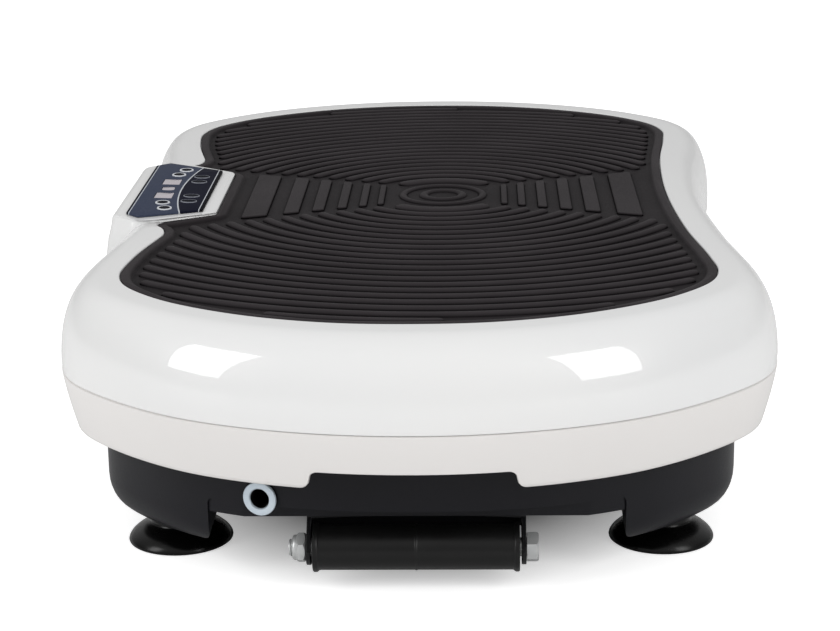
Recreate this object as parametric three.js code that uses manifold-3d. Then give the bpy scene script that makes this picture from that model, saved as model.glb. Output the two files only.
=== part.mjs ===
// Vibration plate: a see-saw standing platform on a low housing, driven by a belt and a crank.
// Millimetres. +X is the roller end, -Y is the console side, +Z is up, and the floor is z = 0.
// The platform rocks about a cross shaft (along Y) in the middle of the housing.

import * as THREE from "three";
import { mergeVertices } from "three/addons/utils/BufferGeometryUtils.js";
import Module from "manifold-3d";

const wasm = await Module();
wasm.setup();

// ---- Driving dimensions -------------------------------------------------------------------
const GAP = 0.3; // between pieces that rest on each other
const FIT = 0.05; // running clearance on a round shaft, on top of the facets
const WALL = 3; // moulded plastic wall
const OUTLINE_POINTS = 64; // points round each large outline

const SEAM_Z = 102; // joint between the cover and the skirt
const MAT_Z = 149.5; // top of the mat
const MAT_THICK = 3;
const RIM_Z = 149.8; // white rim round the mat
const SKIRT_BOTTOM_Z = 70;
const SKIRT_TUCK = 7; // how far the skirt leans in at its bottom
const NOTCH = { top: 80, halfTop: 50, halfBottom: 59 }; // grip notch at each end of the skirt
const ROCK_DEG = 1.5; // rocking each way

const DECK_TOP_Z = MAT_Z - MAT_THICK - WALL - 2 * GAP;
const DECK_THICK = 4;
const DECK_BOTTOM_Z = DECK_TOP_Z - DECK_THICK;

const POD_BOTTOM_Z = 18.7; // corner pods of the tray
const TRAY_BOTTOM_Z = 47.7; // lower edge of the curved wall between the pods
const KEEL = { z: 39.7, halfX: 288, inset: 1 }; // straight-ended floor box under the curved wall
const TRAY_TOP_Z = 97;
const TRAY_FLOOR_Z = KEEL.z + WALL;
const POD_INNER = { x: 172, y: 112 }; // a pod is beyond both of these

const ROCKER = { z: 112, shaftR: 8, tubeR: 17, half: 80, blockY: 100, blockHalf: 9 };
const CRANK = { x: 150, z: 80, journalR: 7.5, discR: 15, discHalf: 7, pulleyR: 29, blockY: 38 };
CRANK.throw = CRANK.x * Math.sin(THREE.MathUtils.degToRad(ROCK_DEG));
const ROD = { length: 36, width: 12, pinR: 5, eyeR: 9 };
const MOTOR = { x: 236, z: 86, r: 35, from: -62, to: 44, shaftR: 4, pulleyR: 14 };
const BELT = { y: 66, half: 5, thick: 2.2, pulleyHalf: 7 };

const FOOT = { x: 217, y: 136, rimR: 29.5, neckR: 16.5, studR: 3 };
const ROLLER = { x: 290, z: 22.8, half: 55, r: 12.1, flangeR: 13.2, boltR: 5, earInner: 56, plate: 2.5 };
const ANCHOR = { y: -82, z: 52, outerR: 9.4, sleeveR: 6.4, innerR: 5.4, plate: 2 };
const INLET = { y: -24, z: 62, halfY: 13.5, halfZ: 9.5 };
const SWITCH = { y: 22, z: 62, halfY: 10.5, halfZ: 7 };

const CONSOLE = { y: -129, z: 150.8, tiltDeg: 1.8, labelThick: 1.2, travel: 0.5 };

// Outlines are given by the quarter with x and y positive and mirrored into the other three.
const MAT_QUARTER = [
  [300, 0], [297, 41], [285, 82], [265.5, 118], [246, 141.5], [221, 160],
  [196.5, 166.5], [165, 165], [98, 157.5], [0, 153.5],
];
const SEAM_QUARTER = [
  [340, 0], [337, 40], [327, 82], [309, 123], [281, 159.5], [249, 187],
  [222, 197.5], [190, 200], [98, 190], [0, 184],
];
const TRAY_QUARTER = [
  [303, 0], [301, 41], [292, 83], [273, 125], [246, 156], [222, 173],
  [196, 178.5], [160, 178], [98, 171], [0, 166],
];

// ---- Finishes -----------------------------------------------------------------------------
const finish = (color, roughness, metalness = 0) =>
  new THREE.MeshStandardMaterial({ color, roughness, metalness });
const WHITE = finish(0xeceae6, 0.18);
const WARM_WHITE = finish(0xe6e2dc, 0.28);
const MAT_RUBBER = finish(0x2b2828, 0.62);
const BASE_PLASTIC = finish(0x23262c, 0.45);
const FOOT_RUBBER = finish(0x0c0c0d, 0.22);
const ROLLER_PLASTIC = finish(0x111112, 0.35);
const BLACK_STEEL = finish(0x131315, 0.4, 0.3);
const ZINC = finish(0xb9bcbd, 0.3, 1);
const BLUE_ZINC = finish(0xc2d0da, 0.4, 0.6);
const GREY_STEEL = finish(0x8d9195, 0.42, 1);
const CAST = finish(0x5d6166, 0.6, 0.8);
const BELT_RUBBER = finish(0x17171a, 0.7);
const LABEL = finish(0x363d4e, 0.35);
const LENS = finish(0xb4aab2, 0.2);
const KEY_SILVER = finish(0xc9ccd2, 0.3, 0.4);
const KEY_DARK = finish(0x14151f, 0.4);
const BOARD_GREEN = finish(0x1f5b3a, 0.5);
const SWITCH_BLACK = finish(0x0e0e10, 0.35);

// ---- Solid modelling helpers --------------------------------------------------------------
function toSolid(geometry) {
  const bare = geometry.index ? geometry.toNonIndexed() : geometry.clone();
  for (const name of Object.keys(bare.attributes)) if (name !== "position") bare.deleteAttribute(name);
  const merged = mergeVertices(bare, 1e-4);
  return new wasm.Manifold(
    new wasm.Mesh({
      numProp: 3,
      vertProperties: merged.attributes.position.array,
      triVerts: new Uint32Array(merged.index.array),
    }),
  );
}

function toGeometry(solid) {
  const { numProp, numVert, vertProperties, triVerts } = solid.getMesh();
  const position = new Float32Array(numVert * 3);
  for (let i = 0; i < numVert; i++) {
    position.set(vertProperties.subarray(i * numProp, i * numProp + 3), i * 3);
  }
  const geometry = new THREE.BufferGeometry();
  geometry.setAttribute("position", new THREE.BufferAttribute(position, 3));
  geometry.setIndex(new THREE.BufferAttribute(new Uint32Array(triVerts), 1));
  geometry.computeVertexNormals();
  return geometry;
}

const join = (...solids) => solids.reduce((sum, solid) => sum.add(solid));
const cut = (solid, ...tools) => tools.reduce((rest, tool) => rest.subtract(tool), solid);

// A box between two corners.
function block([x0, y0, z0], [x1, y1, z1]) {
  const geometry = new THREE.BoxGeometry(x1 - x0, y1 - y0, z1 - z0);
  return toSolid(geometry.translate((x0 + x1) / 2, (y0 + y1) / 2, (z0 + z1) / 2));
}

// A cylinder along Y (or Z) between two stations.
function rodY(x, z, r, y0, y1, sides = 24) {
  const geometry = new THREE.CylinderGeometry(r, r, y1 - y0, sides);
  return toSolid(geometry.translate(x, (y0 + y1) / 2, z));
}
function rodZ(x, y, r, z0, z1, sides = 20) {
  const geometry = new THREE.CylinderGeometry(r, r, z1 - z0, sides).rotateX(Math.PI / 2);
  return toSolid(geometry.translate(x, y, (z0 + z1) / 2));
}

// A turned piece about Z from [radius, z] points that close on the axis or on themselves.
function turned(profile, sides = 24) {
  const points = profile.map(([r, z]) => new THREE.Vector2(r, z));
  return toSolid(new THREE.LatheGeometry(points, sides).rotateX(Math.PI / 2));
}

// A flat outline of [x, y] points raised from z0 to z1.
function prism(outline, z0, z1) {
  const shape = new THREE.Shape(outline.map(([x, y]) => new THREE.Vector2(x, y)));
  const geometry = new THREE.ExtrudeGeometry(shape, { depth: z1 - z0, bevelEnabled: false });
  return toSolid(geometry.translate(0, 0, z0));
}

// An ellipse-shaped disc.
function ellipseDisc(x, y, rx, ry, z0, z1) {
  const shape = new THREE.Shape();
  shape.absellipse(x, y, rx, ry, 0, Math.PI * 2);
  const options = { depth: z1 - z0, bevelEnabled: false, curveSegments: 7 };
  return toSolid(new THREE.ExtrudeGeometry(shape, options).translate(0, 0, z0));
}

// Closed smooth outline through a quarter's points and their mirror images.
function outlineFrom(quarter) {
  const mirrorX = quarter.slice(0, -1).reverse().map(([x, y]) => [-x, y]);
  const upper = [...quarter, ...mirrorX];
  const lower = upper.slice(1, -1).reverse().map(([x, y]) => [x, -y]);
  const points = [...upper, ...lower].map(([x, y]) => new THREE.Vector3(x, y, 0));
  const curve = new THREE.CatmullRomCurve3(points, true, "centripetal");
  return Array.from({ length: OUTLINE_POINTS }, (_, i) => {
    const p = curve.getPoint(i / OUTLINE_POINTS);
    return [p.x, p.y];
  });
}

// The outline moved inwards by d along its own normals.
function inset(outline, d) {
  const n = outline.length;
  return outline.map(([x, y], i) => {
    const [ax, ay] = outline[(i + n - 1) % n];
    const [bx, by] = outline[(i + 1) % n];
    const length = Math.hypot(bx - ax, by - ay);
    return [x - ((by - ay) / length) * d, y + ((bx - ax) / length) * d];
  });
}

// A solid skinned over rings of [x, y] points at rising heights, closed flat at both ends.
function loft(rings) {
  const n = rings[0].points.length;
  const positions = [];
  const index = [];
  for (const { points, z } of rings) for (const [x, y] of points) positions.push(x, y, z);
  for (let r = 0; r + 1 < rings.length; r++) {
    for (let i = 0; i < n; i++) {
      const a = r * n + i;
      const b = r * n + ((i + 1) % n);
      index.push(a, b, b + n, a, b + n, a + n);
    }
  }
  const bottom = positions.length / 3;
  positions.push(0, 0, rings[0].z, 0, 0, rings[rings.length - 1].z);
  const lastRing = (rings.length - 1) * n;
  for (let i = 0; i < n; i++) {
    const j = (i + 1) % n;
    index.push(bottom, j, i, bottom + 1, lastRing + i, lastRing + j);
  }
  const geometry = new THREE.BufferGeometry();
  geometry.setAttribute("position", new THREE.Float32BufferAttribute(positions, 3));
  geometry.setIndex(index);
  return toSolid(geometry);
}

const model = new THREE.Group();
function add(name, solid, material, parent = model) {
  const mesh = new THREE.Mesh(toGeometry(solid), material);
  mesh.name = name;
  parent.add(mesh);
  return mesh;
}

const matOutline = outlineFrom(MAT_QUARTER);
const seamOutline = outlineFrom(SEAM_QUARTER);
const trayOutline = outlineFrom(TRAY_QUARTER);

// ---- Console pod and its tilted frame -----------------------------------------------------
// In the console's frame the pod's top face is z = 0 and y runs from 0 at the mat towards -Y.
const consoleFrame = new THREE.Group();
consoleFrame.position.set(0, CONSOLE.y, CONSOLE.z);
consoleFrame.rotation.x = -THREE.MathUtils.degToRad(CONSOLE.tiltDeg);
model.add(consoleFrame);
consoleFrame.updateMatrixWorld(true);

const mirrorAcross = (half) => [...half.map(([x, y]) => [-x, y]), ...half.slice().reverse()];
const POD_TOP = mirrorAcross([[53, 0], [57, -3], [77, -38], [79, -46], [66, -60]]);
const LABEL_HALF = [[56.3, -8.2], [75.4, -45], [67.3, -53]];
const labelOutline = mirrorAcross(LABEL_HALF);
const podWiden = ([x, y], d) => [x + Math.sign(x) * d, y > -4 ? y : y - d];

function inConsole(solid) {
  return toSolid(toGeometry(solid).applyMatrix4(consoleFrame.matrixWorld));
}

// The pod spreads as it drops to the seam.
function podSolid(shrink) {
  const drop = CONSOLE.z - SEAM_Z;
  const rings = [
    { points: POD_TOP.map((p) => podWiden(p, 9 - shrink)), z: -drop },
    { points: POD_TOP.map((p) => podWiden(p, 7 - shrink)), z: -0.4 * drop },
    { points: POD_TOP.map((p) => podWiden(p, 3 - shrink)), z: -7 },
    { points: POD_TOP.map((p) => podWiden(p, -shrink)), z: -shrink },
  ].map(({ points, z }) => ({ points: points.map(([x, y]) => [x, y + 30]), z }));
  return inConsole(loft(rings).translate([0, -30, 0]));
}

// ---- Platform: cover, skirt, mat ----------------------------------------------------------
// Section of the cover from the seam (step 0) over its round shoulder to the rim of the mat.
const SHOULDER_STEPS = 5;
const RIM_FLAT = 0.32; // share of the way from the mat to the seam that stays level
function shoulderRings(outer, inner, top) {
  const rings = [];
  for (let i = 0; i <= SHOULDER_STEPS; i++) {
    const angle = (i / SHOULDER_STEPS) * (Math.PI / 2);
    const reach = RIM_FLAT + (1 - RIM_FLAT) * Math.cos(angle) ** 0.85;
    const points = outer.map(([x, y], k) => {
      const [ix, iy] = inner[k];
      return [ix + (x - ix) * reach, iy + (y - iy) * reach];
    });
    rings.push({ points, z: SEAM_Z + (top - SEAM_Z) * Math.sin(angle) ** 0.85 });
  }
  return rings;
}

const podOuter = podSolid(0);
const coverOuter = join(loft(shoulderRings(seamOutline, matOutline, RIM_Z)), podOuter);
const innerRings = shoulderRings(inset(seamOutline, WALL), inset(matOutline, WALL), MAT_Z - MAT_THICK - WALL);
const hollow = join(
  loft([{ points: innerRings[0].points, z: SEAM_Z - 5 }, ...innerRings]),
  podSolid(WALL),
  block([-60, -185, SEAM_Z - 5], [60, -120, SEAM_Z + 8]),
);
const matRecess = cut(
  prism(inset(matOutline, -GAP), MAT_Z - MAT_THICK - GAP, MAT_Z + 5),
  podOuter,
);
const aboveSeam = block([-400, -260, SEAM_Z + GAP], [400, 260, 200]);
add("platform_cover", cut(coverOuter, hollow, matRecess).intersect(aboveSeam), WHITE);

const podWithGap = podSolid(-GAP);
add("standing_mat", cut(prism(matOutline, MAT_Z - MAT_THICK, MAT_Z), podWithGap), MAT_RUBBER);

// The skirt leans in below the seam and follows the pod round the console side.
const skirtBulge = seamOutline.map(([x, y]) => {
  const beside = THREE.MathUtils.smoothstep(120 - Math.abs(x), 0, 70);
  return y < 0 ? [x, y - (196 + y) * beside] : [x, y];
});
function skirtRings(extra) {
  const heights = [0, 0.25, 0.6, 1];
  return heights.reverse().map((t) => ({
    points: inset(skirtBulge, SKIRT_TUCK * t ** 1.3 + extra),
    z: SEAM_Z - (SEAM_Z - SKIRT_BOTTOM_Z) * t,
  }));
}
const skirtInner = skirtRings(WALL);
skirtInner[0].z -= 5;
skirtInner[skirtInner.length - 1].z += 5;
const notchOutline = [
  [-NOTCH.halfBottom, SKIRT_BOTTOM_Z - 5], [NOTCH.halfBottom, SKIRT_BOTTOM_Z - 5],
  [NOTCH.halfBottom - 4, SKIRT_BOTTOM_Z + 2], [NOTCH.halfTop + 4, NOTCH.top - 2],
  [NOTCH.halfTop - 2, NOTCH.top], [-NOTCH.halfTop + 2, NOTCH.top],
  [-NOTCH.halfTop - 4, NOTCH.top - 2], [-NOTCH.halfBottom + 4, SKIRT_BOTTOM_Z + 2],
];
const notchShape = new THREE.Shape(notchOutline.map(([y, z]) => new THREE.Vector2(y, z)));
const notchTool = toSolid(
  new THREE.ExtrudeGeometry(notchShape, { depth: 800, bevelEnabled: false })
    .translate(0, 0, -400)
    .rotateX(Math.PI / 2)
    .rotateZ(Math.PI / 2),
);
add("platform_skirt", cut(loft(skirtRings(0)), loft(skirtInner), notchTool), WARM_WHITE);

// ---- Platform: steel deck, rocker yoke and drive fork -------------------------------------
const deckOutline = inset(matOutline, 26);
const consoleClear = block([-90, -200, 100], [90, -118, 200]);
add("deck_plate", cut(prism(deckOutline, DECK_BOTTOM_Z, DECK_TOP_Z), consoleClear), BLACK_STEEL);

const yokeTop = DECK_BOTTOM_Z - GAP;
const yokeWeb = block([-6, -70, ROCKER.z], [6, 70, yokeTop]);
const yokeFlange = block([-32, -76, yokeTop - 5], [32, 76, yokeTop]);
const bushR = 13;
const bushBore = ROCKER.shaftR + FIT + GAP / 2;
add(
  "rocker_yoke",
  cut(
    join(rodY(0, ROCKER.z, ROCKER.tubeR, -ROCKER.half, ROCKER.half), yokeWeb, yokeFlange),
    rodY(0, ROCKER.z, bushR + GAP, -ROCKER.half - 1, ROCKER.half + 1),
  ),
  BLACK_STEEL,
);
for (const [name, side] of [["rocker_bush_left", -1], ["rocker_bush_right", 1]]) {
  const [near, far] = [side * 42, side * 79].sort((a, b) => a - b);
  add(
    name,
    cut(rodY(0, ROCKER.z, bushR, near, far), rodY(0, ROCKER.z, bushBore, near - 1, far + 1)),
    BELT_RUBBER,
  );
}

const rodX = CRANK.x + CRANK.throw;
const rodTopZ = CRANK.z + ROD.length;
const forkTop = DECK_BOTTOM_Z - GAP;
const forkEars = [-1, 1].map((side) => {
  const [near, far] = [side * (ROD.width / 2 + 2), side * (ROD.width / 2 + 6)].sort((a, b) => a - b);
  return block([rodX - 12, near, rodTopZ - 11], [rodX + 12, far, forkTop]);
});
const forkCrown = block([rodX - 20, -18, forkTop - 3], [rodX + 20, 18, forkTop]);
add("drive_fork", join(forkCrown, ...forkEars), BLACK_STEEL);

// ---- Console pieces -----------------------------------------------------------------------
const labelBottom = GAP;
const labelTop = labelBottom + CONSOLE.labelThick;
const KEYS = [
  ["key_program", 54.5, -32.2, 5.3, 4.7, KEY_SILVER],
  ["key_time_up", 40, -35.3, 5.3, 4.7, KEY_SILVER],
  ["key_time_down", -40, -35.3, 5.3, 4.7, KEY_SILVER],
  ["key_start", -54.5, -32.2, 5.3, 4.7, KEY_SILVER],
  ["key_speed_up", 35, -19.5, 4.1, 5.2, KEY_DARK],
  ["key_speed_down", 20.2, -19.6, 4.1, 5.2, KEY_DARK],
  ["key_mode", -20.2, -19.6, 4.1, 5.2, KEY_DARK],
  ["key_stop", -35, -19.5, 4.1, 5.2, KEY_DARK],
];
const DISPLAYS = [["display_near", 19.4], ["display_far", -19.4]];
const DISPLAY = { y: -37.2, halfX: 7.8, halfY: 5.6 };
const WINDOW = { y: -37, rx: 5, ry: 4 };

let label = prism(labelOutline, labelBottom, labelTop);
for (const [, x, y, rx, ry] of KEYS) label = cut(label, ellipseDisc(x, y, rx + GAP, ry + GAP, -1, 5));
for (const [, x] of DISPLAYS) {
  const hole = block(
    [x - DISPLAY.halfX - GAP, DISPLAY.y - DISPLAY.halfY - GAP, -1],
    [x + DISPLAY.halfX + GAP, DISPLAY.y + DISPLAY.halfY + GAP, 5],
  );
  label = cut(label, hole);
}
label = cut(label, ellipseDisc(0, WINDOW.y, WINDOW.rx + GAP, WINDOW.ry + GAP, -1, 5));
add("console_label", label, LABEL, consoleFrame);

for (const [name, x, y, rx, ry, material] of KEYS) {
  add(name, ellipseDisc(x, y, rx, ry, CONSOLE.travel + GAP, labelTop + 0.5), material, consoleFrame);
}
for (const [name, x] of DISPLAYS) {
  const plate = block(
    [x - DISPLAY.halfX, DISPLAY.y - DISPLAY.halfY, labelBottom],
    [x + DISPLAY.halfX, DISPLAY.y + DISPLAY.halfY, labelTop - 0.1],
  );
  add(name, plate, LENS, consoleFrame);
}
add(
  "infrared_window",
  ellipseDisc(0, WINDOW.y, WINDOW.rx, WINDOW.ry, labelBottom, labelTop - 0.1),
  LENS,
  consoleFrame,
);
add("console_board", block([-48, -48, -8], [48, -16, -6.4]), BOARD_GREEN, consoleFrame);

// ---- Base tray ----------------------------------------------------------------------------
// Lower edges round in towards the pods' bottoms.
const LOWER_ROUND = { reach: 13, height: 18 };
function trayRings(extra, floorZ) {
  const levels = [0, 0.12, 0.35, 0.65, 1];
  const rings = levels.map((t) => ({
    points: inset(trayOutline, LOWER_ROUND.reach * (1 - Math.sqrt(1 - (1 - t) ** 2)) + extra),
    z: floorZ + LOWER_ROUND.height * t,
  }));
  return [...rings, { points: inset(trayOutline, extra), z: TRAY_TOP_Z + (extra ? 5 : 0) }];
}
function betweenPods(z, grow) {
  const { x, y } = POD_INNER;
  return [
    block([-400, -y - grow, 0], [400, y + grow, z]),
    block([-x - grow, -260, 0], [x + grow, 260, z]),
  ];
}
function keelBox(extra, top) {
  const outline = inset(trayOutline, KEEL.inset + extra);
  const endX = KEEL.halfX - extra;
  return prism(outline, KEEL.z + extra, top).intersect(block([-endX, -200, 0], [endX, 200, 100]));
}
const trayOuter = join(
  cut(loft(trayRings(0, POD_BOTTOM_Z)), ...betweenPods(TRAY_BOTTOM_Z, 0)),
  keelBox(0, TRAY_BOTTOM_Z + 1),
);
const trayHollow = join(
  cut(loft(trayRings(WALL, POD_BOTTOM_Z + WALL)), ...betweenPods(TRAY_BOTTOM_Z + WALL, WALL)),
  keelBox(WALL, TRAY_BOTTOM_Z + WALL + 1),
);
const wallX = TRAY_QUARTER[0][0];
const inletHole = block(
  [-wallX - 10, INLET.y - INLET.halfY - GAP, INLET.z - INLET.halfZ - GAP],
  [-wallX + 15, INLET.y + INLET.halfY + GAP, INLET.z + INLET.halfZ + GAP],
);
const switchHole = block(
  [-wallX - 10, SWITCH.y - SWITCH.halfY - GAP, SWITCH.z - SWITCH.halfZ - GAP],
  [-wallX + 15, SWITCH.y + SWITCH.halfY + GAP, SWITCH.z + SWITCH.halfZ + GAP],
);
const corners = [[1, -1], [1, 1], [-1, -1], [-1, 1]];
const cornerName = ([sx, sy]) => `${sx > 0 ? "front" : "rear"}_${sy > 0 ? "right" : "left"}`;
const footHoles = corners.map(([sx, sy]) => rodZ(sx * FOOT.x, sy * FOOT.y, FOOT.studR + GAP, 10, 60, 12));

const BUFFER = { x: 100, y: 96, r: 13, postTop: 100, top: DECK_BOTTOM_Z - 4 };
const bufferPosts = corners.map(([sx, sy]) =>
  rodZ(sx * BUFFER.x, sy * BUFFER.y, BUFFER.r + 2, TRAY_FLOOR_Z - 1, BUFFER.postTop, 20),
);

// Where the tray's wall stands at a given y on the roller end, and which way it faces.
function trayWallAt(y) {
  const frontEnd = trayOutline.filter(([x]) => x > 0).sort((a, b) => a[1] - b[1]);
  const next = frontEnd.findIndex((point) => point[1] > y);
  const [a, b] = [frontEnd[next - 1], frontEnd[next]];
  const share = (y - a[1]) / (b[1] - a[1]);
  return { x: a[0] + (b[0] - a[0]) * share, turn: Math.atan2(a[0] - b[0], b[1] - a[1]) };
}
const anchorWall = trayWallAt(ANCHOR.y);
// A round piece through the wall at the anchor, from one depth to another along the wall's normal.
function anchorRound(r, from, to) {
  return toSolid(
    new THREE.CylinderGeometry(r, r, to - from, 32)
      .translate(0, -(from + to) / 2, 0)
      .rotateZ(Math.PI / 2)
      .rotateZ(anchorWall.turn)
      .translate(anchorWall.x, ANCHOR.y, ANCHOR.z),
  );
}
const anchorHole = anchorRound(ANCHOR.sleeveR + GAP, -12, 6);
add(
  "base_tray",
  join(cut(trayOuter, trayHollow, inletHole, switchHole, anchorHole, ...footHoles), ...bufferPosts),
  BASE_PLASTIC,
);
corners.forEach((corner) => {
  const [sx, sy] = corner;
  add(
    `buffer_${cornerName(corner)}`,
    rodZ(sx * BUFFER.x, sy * BUFFER.y, BUFFER.r, BUFFER.postTop + GAP, BUFFER.top, 20),
    BELT_RUBBER,
  );
});

// ---- Suction feet and their bolts ---------------------------------------------------------
const { rimR, neckR, studR } = FOOT;
const footTop = POD_BOTTOM_Z - GAP;
const footProfile = [
  [0, 6], [rimR - 4, 0], [rimR - 0.3, 0], [rimR, 0.8], [rimR - 0.8, 2.8], [26.6, 5.2], [23.5, 7.4],
  [19, 9.8], [neckR, 11], [neckR, footTop], [studR + GAP, footTop], [studR + GAP, 12], [0, 12],
];
corners.forEach((corner) => {
  const [sx, sy] = corner;
  const foot = turned(footProfile).translate([sx * FOOT.x, sy * FOOT.y, 0]);
  add(`suction_foot_${cornerName(corner)}`, foot, FOOT_RUBBER);
  const headZ = POD_BOTTOM_Z + WALL + GAP;
  const bolt = join(
    rodZ(sx * FOOT.x, sy * FOOT.y, studR, 12 + GAP, headZ + 1, 12),
    rodZ(sx * FOOT.x, sy * FOOT.y, 5.5, headZ, headZ + 4, 6),
  );
  add(`foot_bolt_${cornerName(corner)}`, bolt, ZINC);
});

// ---- Transport roller ---------------------------------------------------------------------
const bracketTop = KEEL.z - GAP;
const { x: axleX, z: axleZ, earInner, plate, boltR } = ROLLER;
const earShape = new THREE.Shape();
earShape.moveTo(axleX - 30, bracketTop);
earShape.lineTo(axleX - 9.4, axleZ);
earShape.absarc(axleX, axleZ, 9.4, Math.PI, 0, false);
earShape.lineTo(axleX - 1, bracketTop);
const ears = [-earInner - plate, earInner].map((y) =>
  toSolid(
    new THREE.ExtrudeGeometry(earShape, { depth: plate, bevelEnabled: false, curveSegments: 12 })
      .rotateX(Math.PI / 2)
      .translate(0, y + plate, 0),
  ),
);
const bracketWidth = earInner + plate;
const bracketPlate = block(
  [axleX - 50, -bracketWidth, bracketTop - plate],
  [axleX - 3, bracketWidth, bracketTop],
);
add(
  "roller_bracket",
  cut(join(bracketPlate, ...ears), rodY(axleX, axleZ, boltR + GAP, -70, 70)),
  BLACK_STEEL,
);
// Turned about Z first, then laid along Y.
const { half: rollerHalf, r: rollerR, flangeR } = ROLLER;
const rollerBore = boltR + GAP;
const rollerProfile = [
  [rollerBore, -rollerHalf], [flangeR, -rollerHalf], [flangeR, -rollerHalf + 2.5], [rollerR, -rollerHalf + 4],
  [rollerR, -0.8], [rollerR - 0.5, 0], [rollerR, 0.8], [rollerR, rollerHalf - 4],
  [flangeR, rollerHalf - 2.5], [flangeR, rollerHalf], [rollerBore, rollerHalf], [rollerBore, -rollerHalf],
];
const roller = toSolid(
  toGeometry(turned(rollerProfile)).rotateX(Math.PI / 2).translate(axleX, 0, axleZ),
);
add("transport_roller", roller, ROLLER_PLASTIC);
const headStart = bracketWidth + GAP;
const HEX_R = 9.8; // corner radius of a 17 mm hexagon
add(
  "roller_bolt",
  join(
    rodY(axleX, axleZ, boltR, -headStart - 9, headStart + 1, 20),
    rodY(axleX, axleZ, HEX_R, headStart, headStart + 6.3, 6),
  ),
  ZINC,
);
add(
  "roller_nut",
  cut(
    join(
      rodY(axleX, axleZ, HEX_R, -headStart - 5, -headStart, 6),
      rodY(axleX, axleZ, 7.6, -headStart - 7.2, -headStart - 4, 20),
    ),
    rodY(axleX, axleZ, boltR + GAP, -headStart - 12, 0, 20),
  ),
  ZINC,
);

// ---- Band anchor: a flanged eyelet through the tray's wall --------------------------------
add(
  "band_anchor_ring",
  cut(
    join(
      anchorRound(ANCHOR.outerR, 2 * GAP, 2 * GAP + ANCHOR.plate),
      anchorRound(ANCHOR.sleeveR, -6, 2 * GAP + 0.5),
    ),
    anchorRound(ANCHOR.innerR, -20, 20),
  ),
  BLUE_ZINC,
);

// ---- Rocker shaft and blocks --------------------------------------------------------------
const onFloor = TRAY_FLOOR_Z + GAP;
const shaftEnd = ROCKER.blockY + ROCKER.blockHalf + 3;
add("rocker_shaft", rodY(0, ROCKER.z, ROCKER.shaftR, -shaftEnd, shaftEnd), GREY_STEEL);
for (const [name, side] of [["rocker_block_left", -1], ["rocker_block_right", 1]]) {
  const y = side * ROCKER.blockY;
  const { blockHalf, shaftR, z } = ROCKER;
  const post = block([-26, y - blockHalf, onFloor], [26, y + blockHalf, 56]);
  const web = block([-14, y - blockHalf, 55], [14, y + blockHalf, z]);
  const eyeRound = rodY(0, z, 14, y - blockHalf, y + blockHalf);
  const bore = rodY(0, z, shaftR + GAP, y - 20, y + 20);
  add(name, cut(join(post, web, eyeRound), bore), CAST);
}

// ---- Crank, rod and pulleys ---------------------------------------------------------------
const eccentric = rodY(rodX, CRANK.z, CRANK.discR, -CRANK.discHalf, CRANK.discHalf);
const pulleySide = BELT.y + BELT.pulleyHalf;
add(
  "crank_shaft",
  join(rodY(CRANK.x, CRANK.z, CRANK.journalR, -CRANK.blockY - 12, pulleySide + 3), eccentric),
  GREY_STEEL,
);

// A grooved pulley: a rim each side of a lower belt seat.
function pulley(x, z, r, boreR, sides) {
  const seat = rodY(x, z, r - BELT.thick - GAP, BELT.y - BELT.pulleyHalf, pulleySide, sides);
  const rims = [BELT.y - BELT.pulleyHalf, pulleySide - 1.5].map((y) => rodY(x, z, r, y, y + 1.5, sides));
  const blank = join(seat, ...rims);
  return boreR ? cut(blank, rodY(x, z, boreR, BELT.y - 20, pulleySide + 5)) : blank;
}
add("crank_pulley", pulley(CRANK.x, CRANK.z, CRANK.pulleyR, CRANK.journalR + GAP, 32), CAST);
for (const [name, side] of [["crank_bearing_left", -1], ["crank_bearing_right", 1]]) {
  const y = side * CRANK.blockY;
  const blank = join(
    block([CRANK.x - 24, y - 8, onFloor], [CRANK.x + 24, y + 8, 56]),
    block([CRANK.x - 13, y - 8, 55], [CRANK.x + 13, y + 8, CRANK.z]),
    rodY(CRANK.x, CRANK.z, 13, y - 8, y + 8),
  );
  add(name, cut(blank, rodY(CRANK.x, CRANK.z, CRANK.journalR + GAP, y - 20, y + 20)), CAST);
}
const rodHalf = ROD.width / 2;
const rodBlank = join(
  rodY(rodX, CRANK.z, CRANK.discR + 5, -rodHalf, rodHalf),
  block([rodX - 6, -rodHalf, CRANK.z], [rodX + 6, rodHalf, rodTopZ]),
  rodY(rodX, rodTopZ, ROD.eyeR, -rodHalf, rodHalf),
);
add(
  "connecting_rod",
  cut(
    rodBlank,
    rodY(rodX, CRANK.z, CRANK.discR + GAP, -20, 20),
    rodY(rodX, rodTopZ, ROD.pinR + GAP, -20, 20),
  ),
  CAST,
);
add("wrist_pin", rodY(rodX, rodTopZ, ROD.pinR, -rodHalf - 1, rodHalf + 1), GREY_STEEL);

// ---- Motor and belt -----------------------------------------------------------------------
add(
  "motor_body",
  cut(
    join(
      rodY(MOTOR.x, MOTOR.z, MOTOR.r, MOTOR.from, MOTOR.to, 32),
      rodY(MOTOR.x, MOTOR.z, 12, MOTOR.to - 1, MOTOR.to + 4),
    ),
    rodY(MOTOR.x, MOTOR.z, MOTOR.shaftR + GAP, MOTOR.to - 30, MOTOR.to + 10, 16),
  ),
  BLACK_STEEL,
);
add(
  "motor_bracket",
  cut(
    block([MOTOR.x - 30, -50, onFloor], [MOTOR.x + 30, 34, MOTOR.z - 16]),
    rodY(MOTOR.x, MOTOR.z, MOTOR.r + GAP, -80, 80, 32),
  ),
  CAST,
);
add(
  "motor_pulley",
  join(
    pulley(MOTOR.x, MOTOR.z, MOTOR.pulleyR, 0, 24),
    rodY(MOTOR.x, MOTOR.z, MOTOR.shaftR, MOTOR.to - 28, BELT.y, 16),
  ),
  GREY_STEEL,
);

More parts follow.
